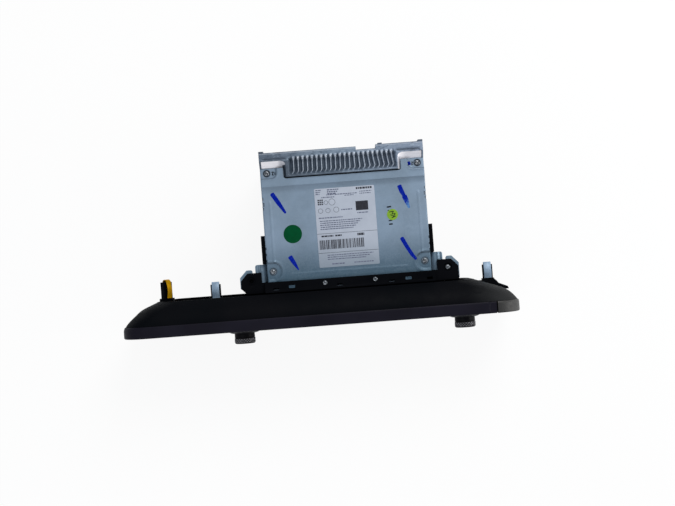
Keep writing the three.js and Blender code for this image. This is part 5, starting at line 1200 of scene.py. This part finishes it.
def pen_marks():
    """The blue pen strokes, the small black marks beside the lime sticker and the scribble on it."""
    on_sticker = 100.28
    blue = [
        ([(-78.1, 26.4), (-71.2, 15.2), (-64.2, 3.6)], [4.7, 4.6, 2.4], [0, 0, 0.15]),
        ([(-63.4, -43.0), (-59.3, -50.4), (-54.6, -58.8)], [5.0, 4.2, 1.3], [0, 0, 0.4]),
        ([(60.4, 25.2), (62.6, 18.5), (65.6, 12.2)], [4.6, 4.9, 3.4], [0, 0, 0.1]),
        ([(65.0, 13.6), (66.9, 8.6), (69.6, -0.6)], [5.4, 5.2, 2.0], [0.2, 0.45, 0.75]),
        ([(58.8, -31.4), (63.8, -41.6), (69.2, -51.2), (73.4, -56.6)], [4.4, 4.2, 3.8, 2.8], [0, 0, 0, 0.25]),
        ([(72.6, 49.8), (73.4, 46.0)], [3.0, 3.4], [0, 0])]
    black = [
        ([(45.4, 2.2), (50.2, 2.6)], [1.5, 1.6], [0, 0.1]),
        ([(46.2, -1.4), (47.4, -1.2)], [0.9, 0.9], [0, 0]),
        ([(46.4, -12.7), (50.4, -12.3)], [1.2, 1.2], [0.2, 0.2]),
        ([(46.6, -16.5), (50.6, -16.3)], [1.5, 1.5], [0, 0]),
        ([(-76.6, 49.2), (-74.2, 49.4), (-76.0, 46.2), (-73.8, 46.0)], [1.0, 1.0, 0.9], [0, 0]),
        ([(-72.6, 49.4), (-73.0, 46.0)], [1.0, 0.9], [0, 0.1]),
        ([(75.4, 49.2), (77.0, 49.0), (75.6, 46.4), (77.4, 46.2)], [0.8, 0.9, 0.8], [0, 0]),
        ([(47.4, -3.4), (52.6, -2.6), (50.2, -5.8), (54.2, -5.2), (51.8, -8.4)], [0.9, 0.7, 0.9], [0, 0],
         on_sticker),
        ([(48.6, -6.0), (52.8, -8.8), (49.8, -9.8), (54.6, -8.0)], [0.8, 0.7, 0.9], [0, 0], on_sticker)]
    for name, table, ink in (("blue_strokes", blue, BLUE_INK), ("black_marks", black, BLACK_INK)):
        shells, shades = zip(*(stroke(*row) for row in table))
        piece(name, shells, ink, "zinc_steel", shade=np.concatenate(shades))


# Assembly

def black_fillers():
    """A thin black disc, turned from a profile, that closes the left ear's hole as painted shade seen through
    it, and the gusset between the right clip's foot and the ledge, an outline carried upwards."""
    # Painted shade: a black disc standing for the shadow seen through the ear's hole.
    shade_disc = [(0, 90.2), (2.7, 90.2), (2.7, 91.0), (2.4, 91.2), (0, 91.3)]
    left_hole = (-EAR_HOLE[0], EAR_HOLE[1])
    piece("left_ear_hole_shade", [lathe("z", left_hole, shade_disc, 40)], FRAME_BLACK, "frame_plastic")
    x, y = np.array([
        (149.5, -85.8), (154.5, -87.4), (164.8, -89.7), (162.8, -86.8), (160.6, -85.0), (151.0, -85.0)]).T
    gusset = loft(np.stack([to_axis("z", x, y, z) for z in (44.6, 63.4)]))
    piece("right_clip_gusset", [gusset], FRAME_BLACK, "frame_plastic")


cover_sheet()
casting()
shroud()
trim("front_band", END_TRIM_X - 1.2, False, RING_BLACK, "satin_trim", "front_trim_ring")
trim("right_end_band", END_TRIM_X, True, END_GREY, "end_trim", "right_end_trim")
screws()
labels()
pen_marks()
for word, side in SIDES:
    bracket(word, side)
    knob(word)
    for number in range(1, KEY_COUNT + 1):
        key_cap(word, number)
piece("knob_collars", [front_collar(x) for x in KNOB_X.values()], PANEL_BLACK, "panel_plastic", sharp=35)
for word, _ in SIDES:
    clip(word + "_clip", middle_of(word + "_clip", "xz"), 2.6, 8.2, 0.0, CLIP_STEEL, "clip_steel")
clip("yellow_clip", (-202.9, 67.6), 6.0, 6.0, 0.75, YELLOW, "yellow_paint")
black_fillers()

for node, material, slot, edge in (
        ("rear_frame", FRAME_BLACK, "frame_plastic", 0.45), ("back_panel", FRAME_BLACK, "frame_plastic", 0.4),
        ("front_face_panel", PANEL_BLACK, "panel_plastic", 0.3),
        ("left_trim_insert", INSERT_SATIN, "satin_trim", 0.4), ("display_lens", LENS, "lens_glass", 0.5),
        ("chassis_tray", TRAY_STEEL, "zinc_steel", 0.25),
        ("main_connector", FRAME_BLACK, "frame_plastic", 0.2), ("aux_connector", SOCKET, "socket_pale", 0.2),
        ("usb_socket", TIN, "tin_can", 0.2), ("antenna_socket", FRAME_BLACK, "frame_plastic", 0.2)):
    rounded_copy(node, material, edge)

KEPT = {
    "display_panel": LENS, "display_back_plate": TRAY_STEEL, "front_board": BOARD, "display_ribbon": FILM,
    "main_board": BOARD, "tuner_can": TIN, "amplifier_chip": PANEL_BLACK}
for word, _ in SIDES:
    KEPT.update({
        word + "_keypad": RUBBER, word + "_encoder_body": TIN, word + "_encoder_shaft": TIN,
        word + "_encoder_plunger": FRAME_BLACK})
for node, material in KEPT.items():
    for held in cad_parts[node].material_slots:
        held.material = material


# Floor, light and camera

def floor():
    """A pale floor that the camera sees as white, with the object's shadow kept faintly."""
    bpy.ops.mesh.primitive_plane_add(size=12, location=(0, 0, FLOOR_LEVEL * MM))
    made = bpy.context.object
    made.name = "studio_floor"
    material, tree, shader, where = start_finish("pale_floor")
    tone = mix(tree, noise(tree, where, 300, 3.0), linear(238, 239, 240), linear(244, 244, 245))
    set_inputs(tree, shader, {"Base Color": tone, "Roughness": 0.9, "Specular IOR Level": 0.0})
    glow = add(tree, "ShaderNodeEmission", {"Color": (1, 1, 1, 1), "Strength": 1.0})
    seen = times(tree, add(tree, "ShaderNodeLightPath").outputs["Is Camera Ray"], 0.9)
    blend = add(tree, "ShaderNodeMixShader", {0: seen, 1: shader.outputs[0], 2: glow.outputs[0]})
    tree.links.new(blend.outputs[0], tree.nodes["Material Output"].inputs["Surface"])
    made.data.materials.append(material)


def studio():
    """Even light from the world and three soft lamps: one high behind the object's right, one in front, one
    low on the right."""
    world = bpy.data.worlds.new("studio")
    bpy.context.scene.world = world
    world.use_nodes = True
    tree = world.node_tree
    back = tree.nodes["Background"]
    set_inputs(tree, back, {"Color": (0.93, 0.96, 1.0, 1.0), "Strength": 0.42})
    white = add(tree, "ShaderNodeBackground", {"Color": (1, 1, 1, 1), "Strength": 1.0})
    path = add(tree, "ShaderNodeLightPath")
    blend = add(tree, "ShaderNodeMixShader", {
        0: path.outputs["Is Camera Ray"], 1: back.outputs[0], 2: white.outputs[0]})
    tree.links.new(blend.outputs[0], tree.nodes["World Output"].inputs["Surface"])
    for name, place, size, power, color in (
            ("key", (0.55, 1.1, 1.5), 0.9, 22.0, (1.0, 0.985, 0.96)),
            ("fill", (-0.7, -1.0, 1.2), 1.2, 7.0, (0.95, 0.97, 1.0)),
            ("side", (1.3, -0.15, 0.5), 0.7, 5.0, (1.0, 0.98, 0.95))):
        lamp = bpy.data.lights.new(name, "AREA")
        lamp.size = size
        lamp.energy = power
        lamp.color = color
        made = new_object(name, lamp)
        made.location = place
        made.rotation_euler = (-Vector(place)).to_track_quat("-Z", "Y").to_euler()


def camera():
    """Straight above the object, turned four degrees about the vertical, as in the photograph."""
    data = bpy.data.cameras.new("camera")
    data.lens = 68.9
    data.sensor_width = 36
    data.clip_end = 50
    made = new_object("camera", data)
    turn = math.radians(4.25)
    right = Vector((math.cos(turn), -math.sin(turn), 0))
    up = Vector((math.sin(turn), math.cos(turn), 0))
    pose = Matrix((right, up, Vector((0, 0, 1)))).transposed().to_4x4()
    pose.translation = Vector((-0.0115, -0.0434, 1.5))
    made.matrix_world = pose
    bpy.context.scene.camera = made


floor()
studio()
camera()
bpy.context.scene.view_settings.view_transform = "Standard"
